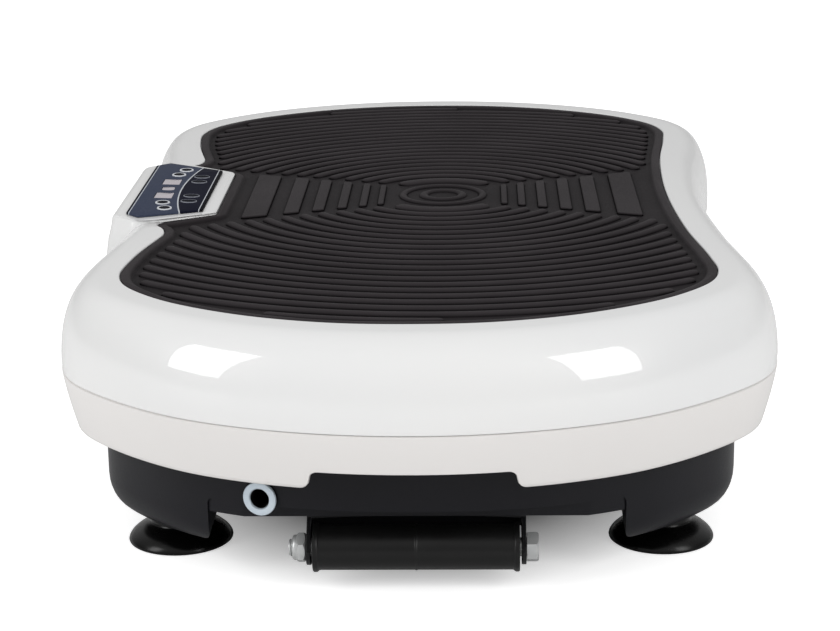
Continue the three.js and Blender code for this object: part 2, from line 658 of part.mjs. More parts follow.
// The belt is a closed band round both pulleys: tangent runs and two arcs.
function beltOutline(extra) {
  const r1 = CRANK.pulleyR - BELT.thick + extra;
  const r2 = MOTOR.pulleyR - BELT.thick + extra;
  const dx = MOTOR.x - CRANK.x;
  const dz = MOTOR.z - CRANK.z;
  const tilt = Math.atan2(dz, dx);
  const open = Math.acos((r1 - r2) / Math.hypot(dx, dz));
  const shape = new THREE.Path();
  shape.absarc(CRANK.x, CRANK.z, r1, tilt + open, tilt - open + 2 * Math.PI, false);
  shape.absarc(MOTOR.x, MOTOR.z, r2, tilt - open, tilt + open, false);
  return shape.getPoints(12).map((p) => [p.x, p.y]);
}
function beltPrism(extra, half) {
  const shape = new THREE.Shape(beltOutline(extra).map(([x, z]) => new THREE.Vector2(x, z)));
  const geometry = new THREE.ExtrudeGeometry(shape, { depth: 2 * half, bevelEnabled: false });
  return toSolid(geometry.rotateX(Math.PI / 2).translate(0, BELT.y + half, 0));
}
add("drive_belt", cut(beltPrism(BELT.thick, BELT.half), beltPrism(GAP, BELT.half + 5)), BELT_RUBBER);

// ---- Electrics ----------------------------------------------------------------------------
add(
  "control_board",
  join(
    block([-215, -60, onFloor + 6], [-115, 20, onFloor + 7.6]),
    block([-200, -50, onFloor + 7], [-170, -20, onFloor + 30]),
    block([-160, -40, onFloor + 7], [-130, 10, onFloor + 22]),
    ...corners.map(([sx, sy]) => rodZ(-165 + sx * 44, -20 + sy * 34, 3, onFloor, onFloor + 7, 10)),
  ),
  BOARD_GREEN,
);
const inletSocket = block(
  [-wallX - 8, INLET.y - 10.5, INLET.z - 6.5],
  [-wallX + 12, INLET.y + 10.5, INLET.z + 6.5],
);
const pins = [-6, 0, 6].map((step) => {
  const y = INLET.y + step;
  return block([-wallX - 1, y - 1, INLET.z - 2], [-wallX + 13, y + 1, INLET.z + 2]);
});
add(
  "mains_inlet",
  join(
    cut(
      join(
        block(
          [-wallX - 1, INLET.y - INLET.halfY, INLET.z - INLET.halfZ],
          [-wallX + 20, INLET.y + INLET.halfY, INLET.z + INLET.halfZ],
        ),
        block(
          [-wallX - 2.5, INLET.y - INLET.halfY - 3, INLET.z - INLET.halfZ - 2],
          [-wallX - GAP - 0.2, INLET.y + INLET.halfY + 3, INLET.z + INLET.halfZ + 2],
        ),
      ),
      inletSocket,
    ),
    ...pins,
  ),
  SWITCH_BLACK,
);
add(
  "switch_frame",
  cut(
    join(
      block(
        [-wallX - 1, SWITCH.y - SWITCH.halfY, SWITCH.z - SWITCH.halfZ],
        [-wallX + 16, SWITCH.y + SWITCH.halfY, SWITCH.z + SWITCH.halfZ],
      ),
      block(
        [-wallX - 2.5, SWITCH.y - SWITCH.halfY - 2, SWITCH.z - SWITCH.halfZ - 2],
        [-wallX - GAP - 0.2, SWITCH.y + SWITCH.halfY + 2, SWITCH.z + SWITCH.halfZ + 2],
      ),
    ),
    block(
      [-wallX - 8, SWITCH.y - SWITCH.halfY + 1.5, SWITCH.z - SWITCH.halfZ + 1.5],
      [-wallX + 8, SWITCH.y + SWITCH.halfY - 1.5, SWITCH.z + SWITCH.halfZ - 1.5],
    ),
  ),
  SWITCH_BLACK,
);
// The rocker's face is two planes that meet in the middle; it tips about Z.
const rockerOutline = [
  [-wallX + 3, SWITCH.y + 7.5], [-wallX - 4.2, SWITCH.y + 8], [-wallX - 2.6, SWITCH.y],
  [-wallX - 4.2, SWITCH.y - 8], [-wallX + 3, SWITCH.y - 7.5],
];
add("power_switch", prism(rockerOutline, SWITCH.z - 4.9, SWITCH.z + 4.9), SWITCH_BLACK);

export default model;
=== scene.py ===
"""Vibration plate: the looks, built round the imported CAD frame.

Shapes are written in millimetres in the frame's own axes (+X roller end, -Y console side) and
turned into metres when a mesh is made.
"""

import math

import bmesh
import bpy
import numpy as np
from mathutils import Matrix, Vector


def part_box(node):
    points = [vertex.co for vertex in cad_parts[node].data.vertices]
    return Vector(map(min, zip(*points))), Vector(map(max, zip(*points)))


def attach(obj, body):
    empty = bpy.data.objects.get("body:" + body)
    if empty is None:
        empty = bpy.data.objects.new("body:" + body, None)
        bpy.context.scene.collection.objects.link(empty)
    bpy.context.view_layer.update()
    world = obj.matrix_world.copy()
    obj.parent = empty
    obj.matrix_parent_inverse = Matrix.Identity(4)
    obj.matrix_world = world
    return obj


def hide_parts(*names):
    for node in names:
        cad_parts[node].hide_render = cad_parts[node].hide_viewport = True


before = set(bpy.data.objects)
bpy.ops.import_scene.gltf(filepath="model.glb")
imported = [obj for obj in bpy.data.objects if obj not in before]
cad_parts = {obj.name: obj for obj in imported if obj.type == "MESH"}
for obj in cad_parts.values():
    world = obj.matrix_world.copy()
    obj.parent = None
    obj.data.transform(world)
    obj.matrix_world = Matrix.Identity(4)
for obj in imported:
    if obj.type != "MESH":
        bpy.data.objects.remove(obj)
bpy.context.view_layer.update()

MM = 0.001


def node_box(name):
    """Lowest and highest corner of a CAD node, in millimetres."""
    low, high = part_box(name)
    return np.array(low) / MM, np.array(high) / MM


# ---- Driving sizes, from the frame ----
SKIRT_BOTTOM, SEAM_Z = (corner[2] for corner in node_box("platform_skirt"))
MAT_BOTTOM, MAT_TOP = (corner[2] for corner in node_box("standing_mat"))
GAP = 0.3  # air between pieces that lie in or on each other
RIM_Z = MAT_TOP + GAP
WALL = 3.0

# Outline control points of one quarter; the other three are mirror images.
MAT_QUARTER = [
    (300, 0), (297, 41), (285, 82), (265.5, 118), (246, 141.5), (221, 160),
    (196.5, 166.5), (165, 165), (98, 157.5), (0, 153.5),
]
SEAM_QUARTER = [
    (340, 0), (337, 40), (327, 82), (309, 123), (281, 159.5), (249, 187),
    (222, 197.5), (190, 200), (98, 190), (0, 184),
]
TRAY_QUARTER = [
    (303, 0), (301, 41), (292, 83), (273, 125), (246, 156), (222, 173),
    (196, 178.5), (160, 178), (98, 171), (0, 166),
]


def add_object(name, data):
    piece = bpy.data.objects.new(name, data)
    bpy.context.scene.collection.objects.link(piece)
    return piece


# ---- Camera ----
CAMERA = {"at": (1.3811, 0.0354, 0.4670), "pitch": 16.14, "yaw": 1.67, "roll": -0.79, "lens": 94.3}


def add_camera():
    pitch, yaw, roll = (math.radians(CAMERA[k]) for k in ("pitch", "yaw", "roll"))
    forward = Vector(
        (-math.cos(yaw) * math.cos(pitch), -math.sin(yaw) * math.cos(pitch), -math.sin(pitch))
    )
    level = forward.cross(Vector((0, 0, 1))).normalized()
    above = level.cross(forward)
    right = level * math.cos(roll) + above * math.sin(roll)
    up = above * math.cos(roll) - level * math.sin(roll)
    data = bpy.data.cameras.new("camera")
    data.lens = CAMERA["lens"]
    data.sensor_width = 36
    camera = add_object("camera", data)
    turn = Matrix((right, up, -forward)).transposed().to_4x4()
    camera.matrix_world = Matrix.Translation(CAMERA["at"]) @ turn
    bpy.context.scene.camera = camera


add_camera()


# ---- Materials ----
def new_material(name):
    material = bpy.data.materials.new(name)
    material.use_nodes = True
    tree = material.node_tree
    shader = tree.nodes["Principled BSDF"]
    return material, tree, shader


def object_coordinates(tree):
    return tree.nodes.new("ShaderNodeTexCoord").outputs["Object"]


def axes(tree, vector):
    """The X, Y and Z outputs of a vector."""
    node = tree.nodes.new("ShaderNodeSeparateXYZ")
    tree.links.new(vector, node.inputs[0])
    return node.outputs


def set_inputs(node, values):
    for name, value in values.items():
        node.inputs[name].default_value = value


def noise(tree, coordinates, scale, detail=3.0, roughness=0.5):
    node = tree.nodes.new("ShaderNodeTexNoise")
    set_inputs(node, {"Scale": scale, "Detail": detail, "Roughness": roughness})
    tree.links.new(coordinates, node.inputs["Vector"])
    return node.outputs["Fac"]


def spread(tree, value, low, high, from_low=0.3, from_high=0.7):
    """A value between two limits, as the input moves over its own useful range."""
    node = tree.nodes.new("ShaderNodeMapRange")
    set_inputs(node, {"From Min": from_low, "From Max": from_high, "To Min": low, "To Max": high})
    tree.links.new(value, node.inputs["Value"])
    return node.outputs["Result"]


def mix_colors(tree, factor, first, second):
    """Colour between two colours or colour sockets."""
    node = tree.nodes.new("ShaderNodeMix")
    node.data_type = "RGBA"
    tree.links.new(factor, node.inputs["Factor"])
    for socket, color in ((node.inputs["A"], first), (node.inputs["B"], second)):
        if isinstance(color, tuple):
            socket.default_value = (*color, 1)
        else:
            tree.links.new(color, socket)
    return node.outputs["Result"]


def calc(tree, operation, *terms):
    node = tree.nodes.new("ShaderNodeMath")
    node.operation = operation
    for socket, term in zip(node.inputs, terms):
        if isinstance(term, (int, float)):
            socket.default_value = term
        else:
            tree.links.new(term, socket)
    return node.outputs[0]


def bump(tree, shader, height, strength, distance):
    node = tree.nodes.new("ShaderNodeBump")
    set_inputs(node, {"Strength": strength, "Distance": distance})
    tree.links.new(height, node.inputs["Height"])
    tree.links.new(node.outputs["Normal"], shader.inputs["Normal"])


def surface(
    name, light, dark, rough, grain, relief,
    metallic=0.0, coat=0.0, coat_rough=0.05, broad=9.0, specular=0.5
):
    """A moulded, cast or plated surface: a broad drift between two colours, and a fine grain.

    The grain is in grains per metre and its relief in micrometres.
    """
    material, tree, shader = new_material(name)
    place = object_coordinates(tree)
    drift = noise(tree, place, broad, 2.0)
    fine = noise(tree, place, grain, 4.0, 0.6)
    color = mix_colors(tree, spread(tree, drift, 0.0, 1.0), dark, light)
    tree.links.new(color, shader.inputs["Base Color"])
    mixed = calc(tree, "ADD", calc(tree, "MULTIPLY", drift, 0.4), calc(tree, "MULTIPLY", fine, 0.6))
    tree.links.new(spread(tree, mixed, rough[0], rough[1]), shader.inputs["Roughness"])
    set_inputs(shader, {"Metallic": metallic, "Specular IOR Level": specular})
    set_inputs(shader, {"Coat Weight": coat, "Coat Roughness": coat_rough})
    bump(tree, shader, fine, 0.35, relief * MM / 1000)
    return material


SHELL_WHITE = surface(
    "shell_white", (0.785, 0.785, 0.78), (0.755, 0.758, 0.76), (0.3, 0.4), 260, 20, coat=0.9,
    coat_rough=0.012, broad=5, specular=0.25
)
SKIRT_WHITE = surface(
    "skirt_white", (0.765, 0.745, 0.73), (0.735, 0.715, 0.70), (0.3, 0.4), 300, 30, coat=0.3,
    coat_rough=0.06, broad=5, specular=0.3
)
BASE_BLACK = surface(
    "base_black", (0.0062, 0.0062, 0.009), (0.004, 0.004, 0.006), (0.36, 0.48), 900, 120, specular=0.2
)
FOOT_RUBBER = surface(
    "foot_rubber", (0.002, 0.002, 0.002), (0.001, 0.001, 0.001), (0.2, 0.32), 120, 50, broad=30,
    specular=0.25
)
ROLLER_BLACK = surface(
    "roller_black", (0.005, 0.005, 0.005), (0.003, 0.003, 0.003), (0.3, 0.45), 420, 60, broad=25,
    specular=0.3
)
BLACK_STEEL = surface(
    "black_steel", (0.004, 0.004, 0.005), (0.002, 0.002, 0.003), (0.32, 0.44), 1100, 80, specular=0.3
)
ZINC = surface(
    "zinc", (0.60, 0.61, 0.61), (0.46, 0.47, 0.47), (0.34, 0.46), 300, 30, metallic=0.55, broad=90
)
BLUE_ZINC = surface(
    "blue_zinc", (0.66, 0.74, 0.80), (0.58, 0.66, 0.73), (0.4, 0.5), 400, 50, metallic=0.35, broad=60
)
GREY_STEEL = surface(
    "grey_steel", (0.46, 0.47, 0.49), (0.36, 0.37, 0.39), (0.24, 0.38), 700, 50, metallic=1
)
CAST_GREY = surface(
    "cast_grey", (0.25, 0.26, 0.28), (0.17, 0.18, 0.19), (0.5, 0.68), 350, 300, metallic=0.7
)
BLACK_RUBBER = surface(
    "black_rubber", (0.016, 0.016, 0.017), (0.010, 0.010, 0.010), (0.6, 0.75), 500, 200
)
DISPLAY_LENS = surface(
    "display_lens", (0.44, 0.39, 0.43), (0.38, 0.34, 0.38), (0.12, 0.2), 150, 10, coat=0.5, broad=80
)
KEY_RIM = surface("key_silver", (0.66, 0.68, 0.72), (0.56, 0.58, 0.62), (0.25, 0.35), 500, 30, broad=80)
KEY_DARK = surface(
    "key_dark", (0.006, 0.007, 0.012), (0.004, 0.005, 0.008), (0.25, 0.35), 500, 30, specular=0.005
)
KEY_LINE = surface("key_line", (0.20, 0.21, 0.25), (0.15, 0.16, 0.19), (0.3, 0.4), 500, 30)
BOARD_GREEN = surface("board_green", (0.02, 0.12, 0.05), (0.015, 0.08, 0.035), (0.35, 0.5), 500, 100)
SWITCH_BLACK = surface(
    "switch_black", (0.012, 0.012, 0.013), (0.008, 0.008, 0.009), (0.3, 0.4), 900, 80
)


def mat_rubber():
    """Charcoal rubber with painted light on its crests and painted shade in its grooves."""
    material, tree, shader = new_material("mat_rubber")
    place = object_coordinates(tree)
    drift = noise(tree, place, 14, 3.0)
    fine = noise(tree, place, 1400, 3.0, 0.6)
    open_air = tree.nodes.new("ShaderNodeAmbientOcclusion")
    open_air.samples = 8
    open_air.only_local = True
    open_air.inputs["Distance"].default_value = 0.006
    # Painted light and shade: raised parts are paler, and ambient occlusion darkens the grooves; the
    # mask sets both colour and specular.
    raised = spread(tree, axes(tree, place)["Z"], 0.6, 1.0, (MAT_TOP - 2.0) * MM, (MAT_TOP - 0.4) * MM)
    crest_light_groove_shade = calc(tree, "MULTIPLY", spread(tree, open_air.outputs["AO"], 0.0, 1.0, 0.58, 0.93), raised)
    crest_light_groove_shade = calc(tree, "MULTIPLY", crest_light_groove_shade, spread(tree, drift, 0.8, 1.0))
    color = mix_colors(tree, crest_light_groove_shade, (0.0006, 0.0005, 0.0006), (0.037, 0.0325, 0.035))
    tree.links.new(color, shader.inputs["Base Color"])
    tree.links.new(calc(tree, "MULTIPLY", crest_light_groove_shade, 0.03), shader.inputs["Specular IOR Level"])
    tree.links.new(spread(tree, fine, 0.42, 0.6), shader.inputs["Roughness"])
    bump(tree, shader, fine, 0.4, 0.00012)
    return material


MAT_RUBBER = mat_rubber()


# ---- Mesh helpers ----
def make_object(name, vertices, faces, materials, body, slot=None, replaces=(), face_materials=None):
    """A mesh piece from millimetre vertices, riding on a body."""
    mesh = bpy.data.meshes.new(name)
    points = [tuple(c * MM for c in v) for v in vertices]
    mesh.from_pydata(points, [], [list(map(int, f)) for f in faces])
    mesh.validate()
    piece = add_object(name, mesh)
    for material in materials if isinstance(materials, (list, tuple)) else [materials]:
        mesh.materials.append(material)
    if face_materials is not None:
        for polygon, number in zip(mesh.polygons, face_materials):
            polygon.material_index = number
    if body:
        settle(piece, body, replaces)
    return piece


def settle(piece, body, replaces=()):
    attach(piece, body)
    if replaces:
        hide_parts(*replaces)


def complete(piece, angle, name, body, node):
    """Smooths and names a loose piece and puts it on its body in a CAD node's place."""
    smooth(piece, angle)
    piece.name = name
    settle(piece, body, [node])


def smooth(piece, angle=35):
    """Smooth shading that keeps edges sharper than the angle."""
    mesh = piece.data
    work = bmesh.new()
    work.from_mesh(mesh)
    bmesh.ops.recalc_face_normals(work, faces=work.faces)
    limit = math.radians(angle)
    for edge in work.edges:
        edge.smooth = len(edge.link_faces) == 2 and edge.calc_face_angle(0) < limit
    for face in work.faces:
        face.smooth = True
    work.to_mesh(mesh)
    work.free()


def bevel(piece, width, angle):
    """Rounds the piece's edges by a width in millimetres."""
    modifier = piece.modifiers.new("edges", "BEVEL")
    modifier.width = width * MM
    modifier.segments = 2
    modifier.limit_method = "ANGLE"
    modifier.angle_limit = math.radians(angle)


def combine(target, tool, operation):
    """Applies a boolean to the target and removes the tool."""
    modifier = target.modifiers.new("combine", "BOOLEAN")
    modifier.operation = operation
    modifier.solver = "EXACT"
    modifier.object = tool
    bpy.context.view_layer.update()
    depsgraph = bpy.context.evaluated_depsgraph_get()
    result = bpy.data.meshes.new_from_object(target.evaluated_get(depsgraph))
    target.modifiers.remove(modifier)
    old = target.data
    target.data = result
    bpy.data.meshes.remove(old)
    bpy.data.objects.remove(tool)
    return target


def catmull(points, places):
    """Closed centripetal Catmull-Rom curve, sampled at places of its own parameter."""
    points = np.array(points, float)
    n = len(points)
    samples = []
    for value in np.atleast_1d(places):
        i = int(math.floor(value)) % n
        t = value - math.floor(value)
        p0, p1, p2, p3 = (points[(i + k) % n] for k in (-1, 0, 1, 2))
        spans = ((p0, p1), (p1, p2), (p2, p3))
        d0, d1, d2 = (max(np.linalg.norm(b - a) ** 0.5, 1e-6) for a, b in spans)
        m1 = ((p1 - p0) / d0 - (p2 - p0) / (d0 + d1) + (p2 - p1) / d1) * d1
        m2 = ((p2 - p1) / d1 - (p3 - p1) / (d1 + d2) + (p3 - p2) / d2) * d1
        samples.append(
            (2 * t**3 - 3 * t**2 + 1) * p1 + (t**3 - 2 * t**2 + t) * m1
            + (-2 * t**3 + 3 * t**2) * p2 + (t**3 - t**2) * m2
        )
    return np.array(samples)


def mirrored(quarter):
    """All control points of an outline, anticlockwise from +X."""
    upper = list(quarter) + [(-x, y) for x, y in reversed(quarter[:-1])]
    return upper + [(x, -y) for x, y in reversed(upper[1:-1])]


def even_values(points, count):
    """Parameter values that step evenly along a closed curve."""
    fine = np.linspace(0, len(points), 4001)
    track = catmull(points, fine)
    length = np.concatenate([[0], np.cumsum(np.linalg.norm(np.diff(track, axis=0), axis=1))])
    return np.interp(np.linspace(0, length[-1], count, endpoint=False), length, fine)


def inset(outline, distance):
    """The outline moved inwards along its own normals."""
    after = np.roll(outline, -1, axis=0)
    before = np.roll(outline, 1, axis=0)
    along = after - before
    along /= np.linalg.norm(along, axis=1)[:, None]
    distance = np.asarray(distance, float).reshape(-1, 1)
    return outline + np.stack([-along[:, 1], along[:, 0]], axis=1) * distance


def skin(rings, close_start=True, close_end=True):
    """Vertices and faces over rings of equal count, each an (n, 3) array."""
    n = len(rings[0])
    vertices = np.concatenate(rings)
    faces = []
    for r in range(len(rings) - 1):
        for i in range(n):
            j = (i + 1) % n
            faces.append((r * n + i, r * n + j, (r + 1) * n + j, (r + 1) * n + i))
    if close_start:
        faces.append(tuple(range(n))[::-1])
    if close_end:
        start = (len(rings) - 1) * n
        faces.append(tuple(range(start, start + n)))
    return vertices, faces


def loose_solid(name, rings, material):
    """A closed piece over rings, not yet riding a body."""
    return make_object(name, *skin(rings), material, None)


def ring_at(outline, z):
    """An (n, 3) ring of an outline at a height, which may differ from point to point."""
    heights = np.broadcast_to(np.asarray(z, float), (len(outline),))
    return np.column_stack([outline, heights])


def tube_of_rings(rings):
    """Faces over a loop of rings, such as a wall with an inside and an outside."""
    vertices, faces = skin(rings, False, False)
    n = len(rings[0])
    last = (len(rings) - 1) * n
    for i in range(n):
        j = (i + 1) % n
        faces.append((last + i, last + j, j, i))
    return vertices, faces


def full_turn(sides):
    return np.linspace(0, 2 * math.pi, sides, endpoint=False)


def turned(profile, sides, axis_point, axis="Z"):
    """A turned piece from [radius, along] points, open on the axis or closed on itself."""
    on_axis = profile[0][0] == 0
    angles = full_turn(sides)
    rings = []
    for r, along in profile[1:-1] if on_axis else profile:
        x, y = r * np.cos(angles), r * np.sin(angles)
        rings.append(np.column_stack([x, y, np.full(sides, along)]))
    if on_axis:
        vertices, faces = skin(rings, False, False)
        count = len(rings) * sides
        vertices = np.vstack([vertices, [[0, 0, profile[0][1]], [0, 0, profile[-1][1]]]])
        for i in range(sides):
            j = (i + 1) % sides
            faces.append((count, j, i))
            faces.append((count + 1, count - sides + i, count - sides + j))
    else:
        vertices, faces = tube_of_rings(rings)
    if axis == "Y":
        vertices = vertices[:, [1, 2, 0]]
    return vertices + np.array(axis_point), faces


def loose_turned(name, profile, sides, axis_point, axis, material):
    """A turned piece, not yet riding a body."""
    return make_object(name, *turned(profile, sides, axis_point, axis), material, None)


def rounded_polygon(points, radii, steps=6):
    """A polygon whose corners are arcs of the given radii."""
    points = np.array(points, float)
    n = len(points)
    outline = []
    for i in range(n):
        a, b, c = points[i - 1], points[i], points[(i + 1) % n]
        u, v = (a - b) / np.linalg.norm(a - b), (c - b) / np.linalg.norm(c - b)
        half = math.acos(np.clip(np.dot(u, v), -1, 1)) / 2
        radius = radii[i] if isinstance(radii, (list, tuple)) else radii
        reach = radius / math.tan(half)
        middle = b + (u + v) / np.linalg.norm(u + v) * radius / math.sin(half)
        start, end = b + u * reach - middle, b + v * reach - middle
        first = math.atan2(start[1], start[0])
        turn = (math.atan2(end[1], end[0]) - first + math.pi) % (2 * math.pi) - math.pi
        for k in range(steps + 1):
            angle = first + turn * k / steps
            outline.append(middle + radius * np.array([math.cos(angle), math.sin(angle)]))
    return np.array(outline)


# ---- Outlines ----
SECTIONS = 420  # even steps round the outlines, and quarter steps at the cusps beside the console
CUSP_X, CUSP_REACH = 97, 22
mat_control = mirrored(MAT_QUARTER)
seam_control = mirrored(SEAM_QUARTER)
tray_control = mirrored(TRAY_QUARTER)
places = even_values(seam_control, SECTIONS)
along_mat = catmull(mat_control, places)
at_cusps = (along_mat[:, 1] < 0) & (np.abs(np.abs(along_mat[:, 0]) - CUSP_X) < CUSP_REACH)
step = np.diff(np.append(places, places[0] + len(seam_control)))
extra = [(places + step * part)[at_cusps] for part in (0.25, 0.5, 0.75)]
places = np.sort(np.concatenate([places] + extra))
seam_outline = catmull(seam_control, places)
mat_outline = catmull(mat_control, places)


# ---- Console frame ----
# Local coordinates: z = 0 is the pod's top face, y = 0 its edge beside the mat.
CONSOLE_EDGE_Y, CONSOLE_Z, CONSOLE_TILT = -129.0, 150.8, math.radians(1.8)
POD_HALF = [(56, 0), (77.5, -38), (79.5, -47), (67, -62.2)]
POD_RADII = [5, 14, 5, 6]
POD_WALL = 4.5
POD_EDGE = 2.6  # radius of the rounded edge round the top
POD_STEP = 0.9  # how far the rounded edge's foot stands out
POD_DROP = CONSOLE_Z - SEAM_Z + 6  # from the top to below the seam
# The pod's walls from the bottom up: spread on every outer side, flare along X, height.
POD_LEVELS = [
    (6.2, 14, -POD_DROP), (4.9, 14.1, -0.8 * POD_DROP), (3.2, 12.2, -0.5 * POD_DROP),
    (2.0, 8.0, -0.24 * POD_DROP), (1.1, 3.0, -7),
]


def from_console(vertices):
    """Points of the console's frame in the machine's frame."""
    vertices = np.asarray(vertices, float)
    c, s = math.cos(CONSOLE_TILT), math.sin(CONSOLE_TILT)
    x, y, z = vertices[:, 0], vertices[:, 1], vertices[:, 2]
    return np.column_stack([x, CONSOLE_EDGE_Y + c * y + s * z, CONSOLE_Z - s * y + c * z])


def both_sides(half):
    """An outline from its +X half."""
    return [(-x, y) for x, y in half] + list(reversed(half))


def pod_outline(spread_by, flare=0.0):
    """The pod's outline; the flare widens it along X only, the spread on every outer side."""
    points = [
        (x + math.copysign(spread_by + flare, x), min(spread_by + 1, 0) if y == 0 else y - spread_by)
        for x, y in both_sides(POD_HALF)
    ]
    radii = POD_RADII + POD_RADII[::-1]
    return rounded_polygon(points, [r + max(spread_by, -3) * 0.5 for r in radii])


def pod_solid(name, shrink):
    """The console's pod, or with a shrink the hollow in it."""
    rings = [ring_at(pod_outline(wide - shrink, flare), z) for wide, flare, z in POD_LEVELS]
    steps = 5
    for k in range(steps + 1):
        angle = k / steps * math.pi / 2
        level = -shrink - POD_EDGE * (1 - math.sin(angle))
        spread_by = -POD_EDGE * (1 - math.cos(angle)) + POD_STEP * (1 - k / steps) - shrink
        rings.append(ring_at(pod_outline(spread_by), level))
    return loose_solid(name, [from_console(ring) for ring in rings], SHELL_WHITE)


# ---- Platform cover ----
RIM_FLAT = 0.32
SHOULDER_POWER = 0.85
RECESS_Z = MAT_BOTTOM - GAP


def shoulder(outer, inner, top, steps):
    """Rings from the seam over the round shoulder to the level rim."""
    rings = []
    for k in range(steps + 1):
        angle = k / steps * math.pi / 2
        reach = RIM_FLAT + (1 - RIM_FLAT) * math.cos(angle) ** SHOULDER_POWER
        z = SEAM_Z + GAP + (top - SEAM_Z - GAP) * math.sin(angle) ** SHOULDER_POWER
        rings.append(ring_at(inner + (outer - inner) * reach, z))
    return rings


# How far the recess moves outwards beside the console, by distance from the middle.
CUSP = [
    (0, 5.2), (83, 5.2), (87, 3.0), (91, 0.2), (95, -1.6), (99, -2.7), (103, -3.4),
    (107, -3.6), (113, -3.1), (120, -2.4), (136, -1.1), (150, -0.4), (170, 0),
]


def recess_outline(grow):
    """The recess for the mat, with the small cusps beside the console."""
    outline = inset(mat_outline, -grow)
    x, y = np.abs(outline[:, 0]), outline[:, 1]
    pull = np.where(y < 0, np.interp(x, *zip(*CUSP)), 0)
    return np.column_stack([outline[:, 0], y - pull])


def build_cover():
    lip, air, lip_steps = 1.1, 0.35, 4
    foot = ((0.9, GAP), (0.25, 0.55))
    rings = [ring_at(inset(seam_outline, inwards), SEAM_Z + up) for inwards, up in foot]
    rings += shoulder(seam_outline, mat_outline, RIM_Z, 22)[1:]
    for k in range(1, lip_steps + 1):
        angle = k / lip_steps * math.pi / 2
        edge = recess_outline(air + lip * (1 - math.sin(angle)))
        rings.append(ring_at(edge, RIM_Z - lip * (1 - math.cos(angle))))
    rings.append(ring_at(recess_outline(air), RECESS_Z))
    cover = loose_solid("cover", rings, SHELL_WHITE)
    combine(cover, pod_solid("pod", 0), "UNION")
    inner = shoulder(inset(seam_outline, WALL), inset(mat_outline, WALL), RECESS_Z - WALL, 10)
    inner[0][:, 2] = SEAM_Z - 8
    inside = loose_solid("inside", inner, SHELL_WHITE)
    combine(inside, pod_solid("pod_inside", POD_WALL), "UNION")
    combine(cover, inside, "DIFFERENCE")
    around = inset(seam_outline, -60)
    below = [ring_at(around, z) for z in (SEAM_Z - 20, SEAM_Z + GAP)]
    combine(cover, loose_solid("below", below, SHELL_WHITE), "DIFFERENCE")
    complete(cover, 32, "cover_shell", "platform", "platform_cover")


build_cover()


# ---- Skirt ----
NOTCH_TOP_Z, NOTCH_HALF_TOP, NOTCH_HALF_BOTTOM = 80.0, 49.5, 59.9
NOTCH_FROM_X = 200  # the ends with the notches begin here
SKIRT_TUCK = 7.0
POD_SKIRT_Y = 196.0  # how far the skirt stands out below the console's pod
POD_FADE = (50, 120)  # distances from the middle between which that bulge fades out


def notch_lift(y):
    """Share of the notch's height at a place along the end: two arcs that meet in a steep flank."""
    middle = (NOTCH_HALF_TOP + NOTCH_HALF_BOTTOM) / 2
    t = np.clip((np.abs(y) - middle) / (middle - NOTCH_HALF_TOP), -1, 1)
    return 0.5 - 0.5 * np.sign(t) * np.sqrt(1 - (1 - np.abs(t)) ** 2)


def smoothstep(low, high, value):
    """Rises softly from 0 to 1 between two limits."""
    t = np.clip((value - low) / (high - low), 0, 1)
    return t * t * (3 - 2 * t)


def build_skirt():
    outline = catmull(seam_control, even_values(seam_control, 1280))
    x, y = outline[:, 0], outline[:, 1]
    below_pod = smoothstep(*POD_FADE, sum(POD_FADE) - np.abs(x))
    y = np.where(y < 0, y - (POD_SKIRT_Y + y) * below_pod, y)
    outline = np.column_stack([x, y])
    at_end = np.abs(x) > NOTCH_FROM_X
    lift = notch_lift(y)
    bottom = SKIRT_BOTTOM + np.where(at_end, lift * (NOTCH_TOP_Z - SKIRT_BOTTOM), 0)
    full = SEAM_Z - SKIRT_BOTTOM

    def wall(depth, extra, raise_by=0.0):
        """A ring part of the way down, tucked in as it drops."""
        z = SEAM_Z - (SEAM_Z - bottom) * depth + raise_by
        share = (SEAM_Z - z) / full
        return ring_at(inset(outline, SKIRT_TUCK * np.clip(share, 0, 1) ** 1.3 + extra), z)

    outer = [wall(d, 0) for d in (0.98, 0.92, 0.8, 0.65, 0.5, 0.35, 0.2, 0.08, 0.02)]
    top = [wall(0, 0.9), wall(0, WALL)]
    inner = [wall(d, WALL) for d in (0.3, 0.65, 0.97)]
    rim = [wall(1, WALL - 0.5), wall(1, 0.7)]
    vertices, faces = tube_of_rings(outer + top + inner + rim)
    skirt = make_object("skirt_ring", vertices, faces, SKIRT_WHITE, "platform", "skirt_white",
                        ["platform_skirt"])
    smooth(skirt, 40)


build_skirt()


# ---- Mat ----
RING_Y = 11.0
RIB_PITCH = 11.7
FIRST_RIB, SECOND_RIB = 41.2, 55.3
RIBS = 22
FIRST_WIDTH, RIB_WIDTH, RIB_HEIGHT = 11.5, 7.2, 2.0
RINGS = [(25.6, 5.2, 1.6), (12.4, 6.2, 1.5)]  # radius, width and height of the target rings
RIB_MARGIN = 10.3  # from a rib's middle line to the mat's edge
FIELD_Z = MAT_TOP - 2.1
BORDER = 7.5  # width of the plain band round the ribbed field
TIP_SLOPE, TIP_START = 0.42, 18.0  # rib tips spread from the ring along this slope
BAR_SLOPE, BAR_START = TIP_SLOPE * 0.96, 11.5  # and the ends of the cross bars along this one
RIB_STEP = 5.5  # between the sections of a rib
# Cross bars at the waist: distance from the ring's middle, and width.
BARS = [(39.2, 4.0), (50.2, 4.8), (63.1, 5.8), (77.7, 7.4), (94.1, 9.4), (116.4, 15.5)]


def mat_edge():
    """The mat's outline with the bay for the console pod."""
    outline = recess_outline(0)
    right = [tuple(p) for p in outline if not (p[1] < 0 and abs(p[0]) < 80)]
    start = next(i for i, p in enumerate(right) if p[1] < 0 and p[0] > 0 and right[i - 1][0] < 0)
    bay = [(79, -160.6), (74.4, -159.5), (73.4, -157.5), (58.4, -132.0), (56.6, -129.6), (54.2, -128.6)]
    return np.array(right[start:] + right[:start] + [(-x, y) for x, y in bay] + bay[::-1])


